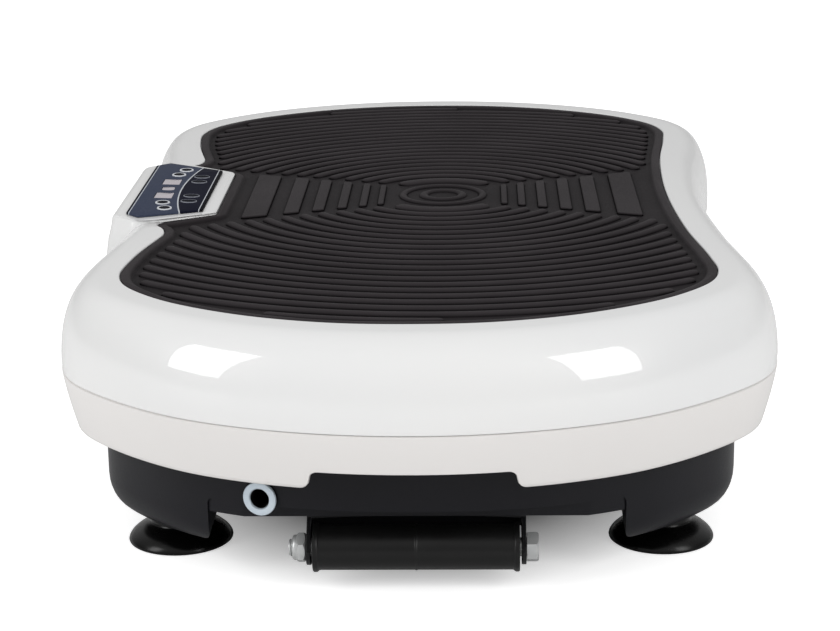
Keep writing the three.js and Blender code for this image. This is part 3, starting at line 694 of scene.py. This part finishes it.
def inside_polygon(points, polygon):
    """Whether each point lies inside a polygon."""
    x, y = points[:, 0], points[:, 1]
    result = np.zeros(len(points), bool)
    for (ax, ay), (bx, by) in zip(polygon, np.roll(polygon, -1, axis=0)):
        if by != ay:
            at = (bx - ax) * (y - ay) / (by - ay) + ax
            result ^= ((ay > y) != (by > y)) & (x < at)
    return result


def distance_to(points, polygon):
    """Distance from each point to the nearest side of a polygon."""
    best = np.full(len(points), 1e9)
    for a, b in zip(polygon, np.roll(polygon, -1, axis=0)):
        ab = b - a
        t = np.clip(((points - a) @ ab) / max(ab @ ab, 1e-9), 0, 1)
        best = np.minimum(best, np.linalg.norm(points - (a + t[:, None] * ab), axis=1))
    return best


def rib_profile(width, height, count=9):
    """Rounded section, from one foot over the crest to the other and back below the field."""
    across = np.cos(np.linspace(math.pi, 0, count)) * width / 2
    up = height * (1 - np.abs(2 * across / width) ** 2.4) ** 0.7
    return [(-width / 2, -0.5)] + list(zip(across, up)) + [(width / 2, -0.5)]


def sweep(path, width, height, closed=False):
    """A raised rib along a flat path of [x, y] points, with rounded ends unless it is closed."""
    profile = np.array(rib_profile(width, height))
    path = np.array(path)
    if closed:
        along = np.roll(path, -1, axis=0) - np.roll(path, 1, axis=0)
    else:
        along = np.gradient(path, axis=0)
    along /= np.linalg.norm(along, axis=1)[:, None]
    side = np.stack([-along[:, 1], along[:, 0]], axis=1)
    lengths = np.concatenate([[0], np.cumsum(np.linalg.norm(np.diff(path, axis=0), axis=1))])
    rings = []
    for i, (point, across) in enumerate(zip(path, side)):
        near_end = min(lengths[i], lengths[-1] - lengths[i]) / (width / 2)
        scale = 1.0 if closed else math.sqrt(max(0.03, 1 - max(0, 1 - near_end) ** 2))
        xy = point + across * (profile[:, :1] * scale)
        lift = np.where(profile[:, 1] > 0, profile[:, 1] * scale**0.6, profile[:, 1])
        rings.append(np.column_stack([xy, FIELD_Z + lift]))
    return tube_of_rings(rings) if closed else skin(rings)


def rib_span(radius, sign, polygon):
    """Angles between which a rib's arc runs before it meets the waist or the border."""
    angles = np.radians(np.arange(0, 80, 0.2))
    ends = []
    for way in (-1, 1):
        x, y = radius * np.cos(angles), way * radius * np.sin(angles)
        points = np.column_stack([sign * x, y + RING_Y])
        good = (x > TIP_SLOPE * np.abs(y) + TIP_START) & inside_polygon(points, polygon)
        good &= distance_to(points, polygon) > RIB_MARGIN
        ends.append(way * angles[max(int(np.argmin(good)) - 1, 0)])
    return ends


def rib(radius, sign, width, polygon):
    """A rib on one side of the waist, or nothing where its arc would be too short."""
    low, high = rib_span(radius, sign, polygon)
    if (high - low) * radius < 3 * width:
        return None
    cap = np.array([0, 0.04, 0.15, 0.35, 0.62]) * width / 2 / radius
    end = width / 2 / radius
    middle = np.linspace(low + end, high - end, max(20, int((high - low) * radius / RIB_STEP)))
    angles = np.concatenate([low + cap, middle, (high - cap)[::-1]])
    path = [(sign * radius * math.cos(a), radius * math.sin(a) + RING_Y) for a in angles]
    return sweep(path, width, RIB_HEIGHT)


def cross_bar(place, width, way):
    """A flat bar across the waist whose ends follow the slope of the rib tips."""
    near, far = place - width / 2, place + width / 2
    half_near, half_far = (BAR_SLOPE * distance + BAR_START for distance in (near, far))
    corners = [(half_near, near), (half_far, far), (-half_far, far), (-half_near, near)]
    outline = rounded_polygon(corners, 1.7, 4)
    if way < 0:
        outline = (outline * (1, -1))[::-1]
    outline = outline + (0, RING_Y)
    levels = [(0, -0.5), (0, 0.5), (0.15, 0.95), (0.5, 1.3), (1.0, 1.4), (1.5, 1.4)]
    return skin([ring_at(inset(outline, d), FIELD_Z + z) for d, z in levels])


def joined(name, parts):
    """One object of several closed solids."""
    vertices, faces, offset = [], [], 0
    for part_vertices, part_faces in parts:
        vertices.append(part_vertices)
        faces += [tuple(i + offset for i in f) for f in part_faces]
        offset += len(part_vertices)
    piece = make_object(name, np.concatenate(vertices), faces, MAT_RUBBER, None)
    smooth(piece)
    return piece


def build_mat():
    edge = mat_edge()
    parts = []
    for sign in (1, -1):
        parts.append(rib(FIRST_RIB, sign, FIRST_WIDTH, edge[::3]))
        for k in range(RIBS - 1):
            parts.append(rib(SECOND_RIB + RIB_PITCH * k, sign, RIB_WIDTH, edge[::3]))
    for radius, width, height in RINGS:
        path = [(radius * math.cos(a), radius * math.sin(a) + RING_Y) for a in full_turn(120)]
        parts.append(sweep(path, width, height, closed=True))
    parts += [cross_bar(place, width, way) for place, width in BARS for way in (1, -1)]

    side = [(0.0, MAT_BOTTOM), (0.0, MAT_TOP - 0.8), (0.25, MAT_TOP - 0.3), (0.8, MAT_TOP)]
    plate = loose_solid("mat", [ring_at(inset(edge, d), z) for d, z in side], MAT_RUBBER)
    kept = distance_to(inset(edge, BORDER), edge) > BORDER - 0.4
    bank = [(0.0, FIELD_Z), (0.5, FIELD_Z + 0.05), (1.3, FIELD_Z + 0.55), (2.2, MAT_TOP - 0.35),
            (3.2, MAT_TOP + 0.3)]
    pocket = [ring_at(inset(edge, BORDER - d)[kept], z) for d, z in bank]
    combine(plate, loose_solid("field", pocket, MAT_RUBBER), "DIFFERENCE")
    combine(plate, joined("ribs", [part for part in parts if part]), "UNION")
    complete(plate, 50, "ribbed_mat", "platform", "standing_mat")


build_mat()


# ---- Console ----
LABEL_HALF = [(56.3, -8.2), (76.0, -45.6), (67.8, -54)]
LABEL_BOTTOM, LABEL_TOP, LENS_TOP = 0.3, 1.5, 1.4
KEYS = [
    ("key_program", "key_silver", 54.5, -32.2), ("key_time_up", "key_silver", 40, -35.3),
    ("key_time_down", "key_silver", -40, -35.3), ("key_start", "key_silver", -54.5, -32.2),
    ("key_speed_up", "key_dark", 35, -19.5), ("key_speed_down", "key_dark", 20.2, -19.6),
    ("key_mode", "key_dark", -20.2, -19.6), ("key_stop", "key_dark", -35, -19.5),
]
# Half sizes of each sort of key, and its bright rim's width and material.
KEY_SORTS = {"key_silver": ((5.3, 4.7), 1.25, KEY_RIM), "key_dark": ((4.1, 5.2), 0.55, KEY_LINE)}
# Windows: piece, CAD node, middle, half sizes of the opening, corner radius and steps.
WINDOWS = [
    ("display_near_lens", "display_near", (19.4, -37.2), (8.1, 5.9), 1, 4),
    ("display_far_lens", "display_far", (-19.4, -37.2), (8.1, 5.9), 1, 4),
    ("infrared_lens", "infrared_window", (0, -37.0), (5.3, 4.3), 3, 6),
]
ARC_CENTRE_Y, ARC_RADIUS = 155.7, 313.0


def ellipse(x, y, rx, ry, sides=48):
    angles = full_turn(sides)
    return np.column_stack([x + rx * np.cos(angles), y + ry * np.sin(angles)])


def label_print():
    """Printed film: slate outside an arc, near-black inside it, with banded long edges."""
    material, tree, shader = new_material("label_film")
    place = object_coordinates(tree)
    x, y, _ = axes(tree, place)
    from_centre = calc(tree, "SUBTRACT", y, ARC_CENTRE_Y * MM)
    squares = calc(tree, "ADD", calc(tree, "POWER", x, 2), calc(tree, "POWER", from_centre, 2))
    beyond = calc(tree, "SUBTRACT", calc(tree, "SQRT", squares), ARC_RADIUS * MM)

    def line(value, at, half):
        offset = calc(tree, "ABSOLUTE", calc(tree, "SUBTRACT", value, at * MM))
        return calc(tree, "LESS_THAN", offset, half * MM)

    fine = noise(tree, place, 900, 2.0)
    grain = spread(tree, fine, 0.0, 1.0)
    slate = mix_colors(tree, grain, (0.040, 0.050, 0.082), (0.058, 0.068, 0.104))
    navy = mix_colors(tree, grain, (0.006, 0.007, 0.016), (0.010, 0.011, 0.022))
    color = mix_colors(tree, calc(tree, "GREATER_THAN", beyond, 0.0), navy, slate)
    inner, outer = (CONSOLE_EDGE_Y + LABEL_HALF[k][1] for k in (0, 2))
    near_band = calc(tree, "GREATER_THAN", y, (inner - 1.6) * MM)
    far_band = calc(tree, "LESS_THAN", y, (outer + 1.2) * MM)
    bands = calc(tree, "MAXIMUM", near_band, far_band)
    color = mix_colors(tree, bands, color, (0.006, 0.006, 0.008))
    stripes = calc(tree, "MAXIMUM", line(y, inner - 2.3, 0.28), line(y, outer + 1.9, 0.25))
    stripes = calc(tree, "MAXIMUM", stripes, line(beyond, 0.0, 0.42))
    color = mix_colors(tree, stripes, color, (0.55, 0.57, 0.60))
    tree.links.new(color, shader.inputs["Base Color"])
    tree.links.new(spread(tree, fine, 0.3, 0.4), shader.inputs["Roughness"])
    shader.inputs["Specular IOR Level"].default_value = 0.003
    bump(tree, shader, fine, 0.3, 0.00002)
    return material


def plate_rings(outline, bottom, top, edge, steps=3):
    """Rings of a flat plate whose upper edge is rounded."""
    rings = [ring_at(outline, bottom), ring_at(outline, top - edge)]
    for k in range(1, steps + 1):
        angle = k / steps * math.pi / 2
        smaller = inset(outline, edge * (1 - math.cos(angle)))
        rings.append(ring_at(smaller, top - edge * (1 - math.sin(angle))))
    return rings


def console_piece(name, rings, materials, body="platform", slot=None, replaces=(), face_materials=None):
    """A piece over rings in the console's frame."""
    vertices, faces = skin(rings)
    points = from_console(vertices)
    return make_object(name, points, faces, materials, body, slot, replaces, face_materials)


def window_outline(middle, half, radius, steps):
    across, up = half
    corners = [(-across, -up), (across, -up), (across, up), (-across, up)]
    return rounded_polygon(corners, radius, steps) + middle


def build_key(name, sort, x, y):
    """A key with a bright rim and a dark, slightly domed face."""
    (rx, ry), rim, rim_material = KEY_SORTS[sort]
    levels = [
        (0.05, 0.8), (0, 0.95), (0, 1.6), (0.08, 1.85), (0.3, 2.0), (rim - 0.15, 2.0), (rim, 1.92),
        (rim + 0.15, 1.72), (rim + 0.5, 1.66), (rim + 1.4, 1.74), (rim + 2.4, 1.79),
    ]
    rings = [ring_at(ellipse(x, y, rx - inwards, ry - inwards), z) for inwards, z in levels]
    sides, rim_bands = len(rings[0]), 6
    numbers = [0] * (sides * rim_bands) + [1] * (sides * (len(rings) - 1 - rim_bands)) + [0, 1]
    materials, cap = [rim_material, KEY_DARK], name + "_cap"
    smooth(console_piece(cap, rings, materials, cap, sort, [name], numbers), 40)


def build_console():
    outline = rounded_polygon(both_sides(LABEL_HALF), 1.2, 4)
    rings = plate_rings(outline, LABEL_BOTTOM, LABEL_TOP, 0.35)
    label = console_piece("label", rings, label_print(), None)
    windows = [window_outline(*window[2:]) for window in WINDOWS]
    holes = []
    for _, sort, x, y in KEYS:
        rx, ry = KEY_SORTS[sort][0]
        holes.append(ellipse(x, y, rx + GAP, ry + GAP))
    for hole in holes + windows:
        tool = console_piece("hole", [ring_at(hole, z) for z in (-1, 4)], KEY_DARK, None)
        combine(label, tool, "DIFFERENCE")
    complete(label, 40, "label_plate", "platform", "console_label")

    for key in KEYS:
        build_key(*key)
    for (name, node, *_), window in zip(WINDOWS, windows):
        rings = plate_rings(inset(window, GAP), LABEL_BOTTOM, LENS_TOP, GAP)
        smooth(console_piece(name, rings, DISPLAY_LENS, "platform", "display_lens", [node]), 40)


build_console()


# ---- Base tray ----
POD_BOTTOM_Z, TRAY_BOTTOM_Z, TRAY_TOP_Z = 18.7, 47.7, 97.0
KEEL_Z, KEEL_X, KEEL_INSET = 39.7, 288.0, 1.0
POD_INNER_X, POD_INNER_Y = 172.0, 112.0
POD_CORNER = 7.0
ROUND_REACH, ROUND_HEIGHT = 13.0, 18.0
FOOT_X, FOOT_Y, BOLT_HOLE = 217.0, 136.0, 3.3
POST_X, POST_Y, POST_RADIUS, POST_TOP_Z = 100.0, 96.0, 15.0, 100.0


def box_object(name, low, high, material=BASE_BLACK):
    """A loose box between two corners."""
    corners = [(low[0], low[1]), (high[0], low[1]), (high[0], high[1]), (low[0], high[1])]
    return loose_solid(name, [ring_at(corners, z) for z in (low[2], high[2])], material)


def round_tool(name, radius, low, high):
    """A loose upright cylinder from a point up to a height."""
    profile = [(0, 0), (radius, 0), (radius, high - low[2]), (0, high - low[2])]
    return loose_turned(name, profile, 48, low, "Z", BASE_BLACK)


def gap_tool(half, roof, floor, corner, lengthwise):
    """A long tool that clears the space between the pods and leaves their inner corners round."""
    angles = np.radians(np.linspace(14, 90, 7))
    side = [(half + corner + 2, -5), (half + corner + 1, floor - 1.2)]
    side += [(half + corner * (1 - math.sin(a)), floor + corner * (1 - math.cos(a))) for a in angles]
    side += [(half, roof - 3), (half - 0.9, roof - 0.9), (half - 3, roof)]
    section = side + [(-across, z) for across, z in reversed(side)]
    reach = 400 if lengthwise else 260
    rings = [
        np.array([(end, a, z) if lengthwise else (a, end, z) for a, z in section])
        for end in (-reach, reach)
    ]
    return loose_solid("gap", rings, BASE_BLACK)


def tray_solid(name, shrink):
    """The tray's outer shape, or with a shrink the room inside it."""
    outline = catmull(tray_control, even_values(tray_control, 300))
    floor = POD_BOTTOM_Z + shrink
    rings = []
    for t in (0, 0.02, 0.06, 0.13, 0.22, 0.34, 0.48, 0.64, 0.82, 1):
        reach = ROUND_REACH * (1 - math.sqrt(1 - (1 - t) ** 2))
        rings.append(ring_at(inset(outline, reach + shrink), floor + ROUND_HEIGHT * t))
    rings.append(ring_at(inset(outline, shrink), TRAY_TOP_Z + (5 if shrink else 0)))
    tray = loose_solid(name, rings, BASE_BLACK)
    roof, corner = TRAY_BOTTOM_Z + shrink, POD_CORNER - shrink
    combine(tray, gap_tool(POD_INNER_Y + shrink, roof, floor, corner, True), "DIFFERENCE")
    combine(tray, gap_tool(POD_INNER_X + shrink, roof, floor, corner, False), "DIFFERENCE")
    narrower = inset(outline, KEEL_INSET + shrink)
    keel = loose_solid("keel", [ring_at(narrower, z) for z in (KEEL_Z + shrink, roof + 1)], BASE_BLACK)
    end = KEEL_X - shrink
    combine(keel, box_object("ends", (-end, -220, 0), (end, 220, 120)), "INTERSECT")
    return combine(tray, keel, "UNION")


def build_tray():
    tray = tray_solid("tray", 0)
    combine(tray, tray_solid("tray_inside", WALL), "DIFFERENCE")
    for sx in (1, -1):
        for sy in (1, -1):
            foot = (sx * POST_X, sy * POST_Y, TRAY_BOTTOM_Z - 6)
            combine(tray, round_tool("post", POST_RADIUS, foot, POST_TOP_Z), "UNION")
            hole = round_tool("hole", BOLT_HOLE, (sx * FOOT_X, sy * FOOT_Y, 10), 60)
            combine(tray, hole, "DIFFERENCE")
    for node, side in (("mains_inlet", 2.7), ("switch_frame", 1.7)):
        low, high = node_box(node)
        hole = box_object("hole", low + (-8, side, 1.7), high + (2, -side, -1.7))
        combine(tray, hole, "DIFFERENCE")
    eye = anchor_ring([(0, -12), (6.7, -12), (6.7, 6), (0, 6)], 48)
    combine(tray, make_object("hole", *eye, BASE_BLACK, None), "DIFFERENCE")
    complete(tray, 32, "tray_shell", "root", "base_tray")


# ---- Band anchor ----
ANCHOR_Y, ANCHOR_Z = -82.0, 52.0


def anchor_ring(profile, sides):
    """A turned piece whose axis stands square to the tray's wall at the anchor."""
    track = catmull(tray_control, np.linspace(-3, 1, 800))
    i = int(np.argmin(np.abs(track[:, 1] - ANCHOR_Y)))
    step = track[i + 1] - track[i]
    out = np.array([step[1], -step[0]]) / np.linalg.norm(step)
    vertices, faces = turned(profile, sides, (0, 0, 0))
    r1, r2, along = vertices[:, 0], vertices[:, 1], vertices[:, 2]
    x = track[i][0] + out[0] * along - out[1] * r1
    y = track[i][1] + out[1] * along + out[0] * r1
    return np.column_stack([x, y, ANCHOR_Z + r2]), faces


build_tray()
EYELET_SIDES = 72
EYELET_PROFILE = [
    (6.4, -6), (6.4, 0.4), (8.6, 0.5), (9.2, 0.7), (9.4, 1.1), (9.4, 1.9), (9.1, 2.35), (8.5, 2.55),
    (6.6, 2.6), (5.9, 2.45), (5.5, 2.0), (5.4, 1.4), (5.4, -6),
]
# Painted shade: the bore's bands take black steel to stand for the shade inside the hole.
SHADED_BORE_BANDS = 2  # the last bands of the profile line the hole
eyelet_bands = [0] * (len(EYELET_PROFILE) - SHADED_BORE_BANDS) + [1] * SHADED_BORE_BANDS
eyelet = make_object(
    "eyelet", *anchor_ring(EYELET_PROFILE, EYELET_SIDES), [BLUE_ZINC, BLACK_STEEL], "root", "blue_zinc",
    ["band_anchor_ring"], np.repeat(eyelet_bands, EYELET_SIDES).tolist()
)
smooth(eyelet, 35)


# ---- Feet ----
FOOT_PROFILE = [
    (0, 6), (6, 5.75), (13, 4.4), (19, 2.4), (24, 0.5), (25.5, 0), (29.0, 0), (29.35, 0.25),
    (29.5, 0.8), (29.3, 1.7), (28.7, 2.8), (27.8, 4.0), (26.5, 5.2), (25.1, 6.4), (23.3, 7.5),
    (21.3, 8.6), (19.2, 9.6), (17.4, 10.5), (16.7, 11.2), (16.5, 12.2), (16.5, 17.9),
    (16.0, 18.4), (BOLT_HOLE, 18.4), (BOLT_HOLE, 12), (0, 12),
]
CORNERS = {"front_left": (1, -1), "front_right": (1, 1), "rear_left": (-1, -1), "rear_right": (-1, 1)}
for corner, (sx, sy) in CORNERS.items():
    vertices, faces = turned(FOOT_PROFILE, 96, (sx * FOOT_X, sy * FOOT_Y, 0))
    foot = make_object("cup_" + corner, vertices, faces, FOOT_RUBBER, "root", "foot_rubber",
                       ["suction_foot_" + corner])
    smooth(foot, 40)


# ---- Transport roller ----
AXLE_X, AXLE_Z = 290.0, 22.8
AXLE = (AXLE_X, 0, AXLE_Z)
EAR_INNER, PLATE, BRACKET_TOP = 56.0, 2.5, KEEL_Z - GAP
HEX_RADIUS, BORE_RADIUS = 8.4, 5.3


def build_roller():
    half, r, flange = 55.0, 12.1, 13.2
    side = [
        (BORE_RADIUS, -half), (flange - 0.5, -half), (flange, -half + 0.5), (flange, -half + 2.2),
        (flange - 0.4, -half + 2.8), (r + 0.1, -half + 3.4), (r, -half + 4.2), (r, -half + 20),
        (r, -0.9), (r + 0.1, -0.55), (r + 0.35, -0.2),
    ]
    profile = side + [(radius, -along) for radius, along in reversed(side)]
    vertices, faces = turned(profile, 96, AXLE, "Y")
    roller = make_object("roller", vertices, faces, ROLLER_BLACK, "roller", "roller_black",
                         ["transport_roller"])
    smooth(roller, 35)


def build_bracket():
    width = EAR_INNER + PLATE
    across = np.linspace(-width, width, 25)
    front = [(AXLE_X - 5 - 4 * math.cos(math.pi * y / (2 * width)), y) for y in across]
    outline = np.array([(AXLE_X - 50, width), (AXLE_X - 50, -width)] + front)
    rings = [ring_at(outline, BRACKET_TOP - PLATE), ring_at(outline, BRACKET_TOP)]
    bracket = loose_solid("bracket", rings, BLACK_STEEL)
    ear_radius, angles = 9.4, np.linspace(math.pi, 2 * math.pi, 28)
    arc = [(AXLE_X + ear_radius * math.cos(a), AXLE_Z + ear_radius * math.sin(a)) for a in angles]
    ear = [(AXLE_X - 30, BRACKET_TOP - 1)] + arc + [(AXLE_X - 5.5, BRACKET_TOP - 1)]
    for y in (-width, EAR_INNER):
        rings = [np.array([(x, y + depth, z) for x, z in ear]) for depth in (0, PLATE)]
        combine(bracket, loose_solid("ear", rings, BLACK_STEEL), "UNION")
    bore = [(0, -70), (BORE_RADIUS, -70), (BORE_RADIUS, 70), (0, 70)]
    combine(bracket, loose_turned("bore", bore, 48, AXLE, "Y", BLACK_STEEL), "DIFFERENCE")
    web_low, web_high = (AXLE_X - 14.7, -EAR_INNER - 1, 30), (AXLE_X - 12.2, EAR_INNER + 1, 38.4)
    combine(bracket, box_object("web", web_low, web_high, BLACK_STEEL), "UNION")
    complete(bracket, 35, "roller_mount", "root", "roller_bracket")
    bevel(bracket, 0.5, 40)


def axle_ring(y, radius, angles):
    """A ring round the axle, whose radius may differ from angle to angle."""
    x, z = AXLE_X + radius * np.sin(angles), AXLE_Z + radius * np.cos(angles)
    return np.column_stack([x, np.full(len(angles), y), z])


def hexagon(name, low, high, chamfered):
    """A hexagon along Y between two stations, chamfered at the named ones."""
    angles = np.radians(np.arange(0, 360, 60))
    head = loose_solid(name, [axle_ring(y, HEX_RADIUS, angles) for y in (low, high)], ZINC)
    clear = HEX_RADIUS + 1
    small = HEX_RADIUS * math.cos(math.radians(30)) * 0.96 - 0.65
    start, end = (small if station in chamfered else clear for station in (low, high))
    widest = HEX_RADIUS + 0.3
    profile = [
        (0, low - 0.5), (start, low - 0.5), (widest, low + 1.5), (widest, high - 1.5),
        (end, high + 0.5), (0, high + 0.5),
    ]
    combine(head, loose_turned("round", profile, 72, AXLE, "Y", ZINC), "INTERSECT")
    return head


def threaded_rod(end, shoulder_y, start):
    """Rings of a plain shank that turns into a thread past the shoulder and tapers at its end."""
    radius, pitch, depth, sides = 5, 1.5, 0.8, 48
    rings_per_turn, run_in, run_out = 8, 1.2, 1.5
    angles = full_turn(sides)
    rings = []
    count = int((shoulder_y - end) / pitch * rings_per_turn)
    for k in range(count + 1):
        y = end + (shoulder_y - end) * k / count
        phase = (y / pitch - angles / (2 * math.pi)) % 1
        taper = min(1, (y - end) / run_in)
        groove = depth * (1 - np.abs(2 * phase - 1)) * taper * min(1, (shoulder_y - y) / run_out)
        rings.append(axle_ring(y, radius - groove - depth * (1 - taper), angles))
    return rings + [axle_ring(y, radius, angles) for y in (shoulder_y + 1, start)]


def build_bolt():
    width = EAR_INNER + PLATE + GAP
    head = hexagon("head", width, width + 6.3, (width + 6.3,))
    rod = threaded_rod(-width - 9, -width + 2, width + 1)
    combine(head, loose_solid("shank", rod, ZINC), "UNION")
    complete(head, 28, "axle_bolt", "root", "roller_bolt")

    outer = -width - 5
    nut = hexagon("nut", outer, -width, (outer, -width))
    collar = [
        (0, outer - 2.2), (5.9, outer - 2.2), (6.4, outer - 1.8), (6.8, outer - 1),
        (6.8, outer + 1), (0, outer + 1),
    ]
    combine(nut, loose_turned("collar", collar, 72, AXLE, "Y", ZINC), "UNION")
    bore = [(0, -width - 12), (BORE_RADIUS, -width - 12), (BORE_RADIUS, 0), (0, 0)]
    combine(nut, loose_turned("bore", bore, 48, AXLE, "Y", ZINC), "DIFFERENCE")
    complete(nut, 28, "lock_nut", "root", "roller_nut")


build_roller()
build_bracket()
build_bolt()


# ---- Frame pieces that keep their CAD shape ----
KEPT = {
    BLACK_STEEL: ["deck_plate", "rocker_yoke", "drive_fork", "motor_body"],
    GREY_STEEL: ["rocker_shaft", "crank_shaft", "wrist_pin", "motor_pulley"],
    CAST_GREY: ["rocker_block_left", "rocker_block_right", "crank_pulley", "crank_bearing_left",
                "crank_bearing_right", "connecting_rod", "motor_bracket"],
    BLACK_RUBBER: ["rocker_bush_left", "rocker_bush_right", "drive_belt"]
    + ["buffer_" + corner for corner in CORNERS],
    BOARD_GREEN: ["console_board", "control_board"],
    SWITCH_BLACK: ["mains_inlet", "switch_frame", "power_switch"],
    ZINC: ["foot_bolt_" + corner for corner in CORNERS],
}
for material, names in KEPT.items():
    for name in names:
        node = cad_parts[name]
        node.data.materials.clear()
        node.data.materials.append(material)
        bevel(node, 0.4, 35)


# ---- Floor and light ----
def floor_material():
    """Pale floor with painted light: a glow, seen by the camera only, that grows away from the plate
    and whitens the floor beyond the plate's shade.
    """
    material, tree, shader = new_material("floor")
    place = object_coordinates(tree)
    fine = noise(tree, place, 3, 2.0)
    color = mix_colors(tree, spread(tree, fine, 0.0, 1.0), (0.90, 0.90, 0.90), (0.92, 0.92, 0.92))
    tree.links.new(color, shader.inputs["Base Color"])
    set_inputs(shader, {"Roughness": 0.6, "Specular IOR Level": 0.2})
    scaled = tree.nodes.new("ShaderNodeMapping")
    scaled.inputs["Scale"].default_value = (1 / 0.34, 1 / 0.21, 0)
    tree.links.new(place, scaled.inputs["Vector"])
    radius = tree.nodes.new("ShaderNodeVectorMath")
    radius.operation = "LENGTH"
    tree.links.new(scaled.outputs["Vector"], radius.inputs[0])
    glow = spread(tree, radius.outputs["Value"], 0.08, 0.6, 0.62, 0.9)
    seen = tree.nodes.new("ShaderNodeLightPath").outputs["Is Camera Ray"]
    tree.links.new(calc(tree, "MULTIPLY", glow, seen), shader.inputs["Emission Strength"])
    shader.inputs["Emission Color"].default_value = (1, 1, 1, 1)
    return material


FLOOR_REACH = 6000
floor_corners = [(x * FLOOR_REACH, y * FLOOR_REACH, 0) for x, y in ((-1, -1), (1, -1), (1, 1), (-1, 1))]
floor = make_object("floor", floor_corners, [(0, 1, 2, 3)], floor_material(), None)
floor.location.z = -0.0002


def studio_world():
    """A soft white room: bright end walls and ceiling, dark side walls."""
    world = bpy.data.worlds.new("studio")
    bpy.context.scene.world = world
    world.use_nodes = True
    tree = world.node_tree
    x, _, z = axes(tree, tree.nodes.new("ShaderNodeTexCoord").outputs["Generated"])
    front = spread(tree, x, 0.0, 0.36, -0.2, 0.9)
    back = spread(tree, x, 0.0, 0.49, 0.2, -0.9)
    above = spread(tree, z, 0.0, 0.6, 0.1, 0.95)
    total = calc(tree, "ADD", calc(tree, "ADD", front, back), above)
    seen = tree.nodes.new("ShaderNodeLightPath").outputs["Is Camera Ray"]
    background = tree.nodes["Background"].inputs
    tree.links.new(calc(tree, "MAXIMUM", total, seen), background["Strength"])
    background["Color"].default_value = (1, 1, 1, 1)


studio_world()


def softbox(name, azimuth, size, power):
    """A panel aimed at the plate from an azimuth in degrees."""
    turn, rise, distance, aim_z = math.radians(azimuth), math.radians(23), 2, 0.12
    level = distance * math.cos(rise)
    at = Vector((level * math.cos(turn), level * math.sin(turn), distance * math.sin(rise) + aim_z))
    target = Vector((0.3, 0.1 * math.copysign(1, azimuth), aim_z))
    data = bpy.data.lights.new(name, "AREA")
    data.shape = "RECTANGLE"
    data.size, data.size_y = size
    data.energy = power
    light = add_object(name, data)
    light.location = at
    light.rotation_euler = (target - at).to_track_quat("-Z", "Y").to_euler()


softbox("left_box", -54.4, (0.69, 1.1), 13)
softbox("right_box", 44.8, (0.64, 1.1), 12.5)
bpy.context.scene.view_settings.view_transform = "Standard"
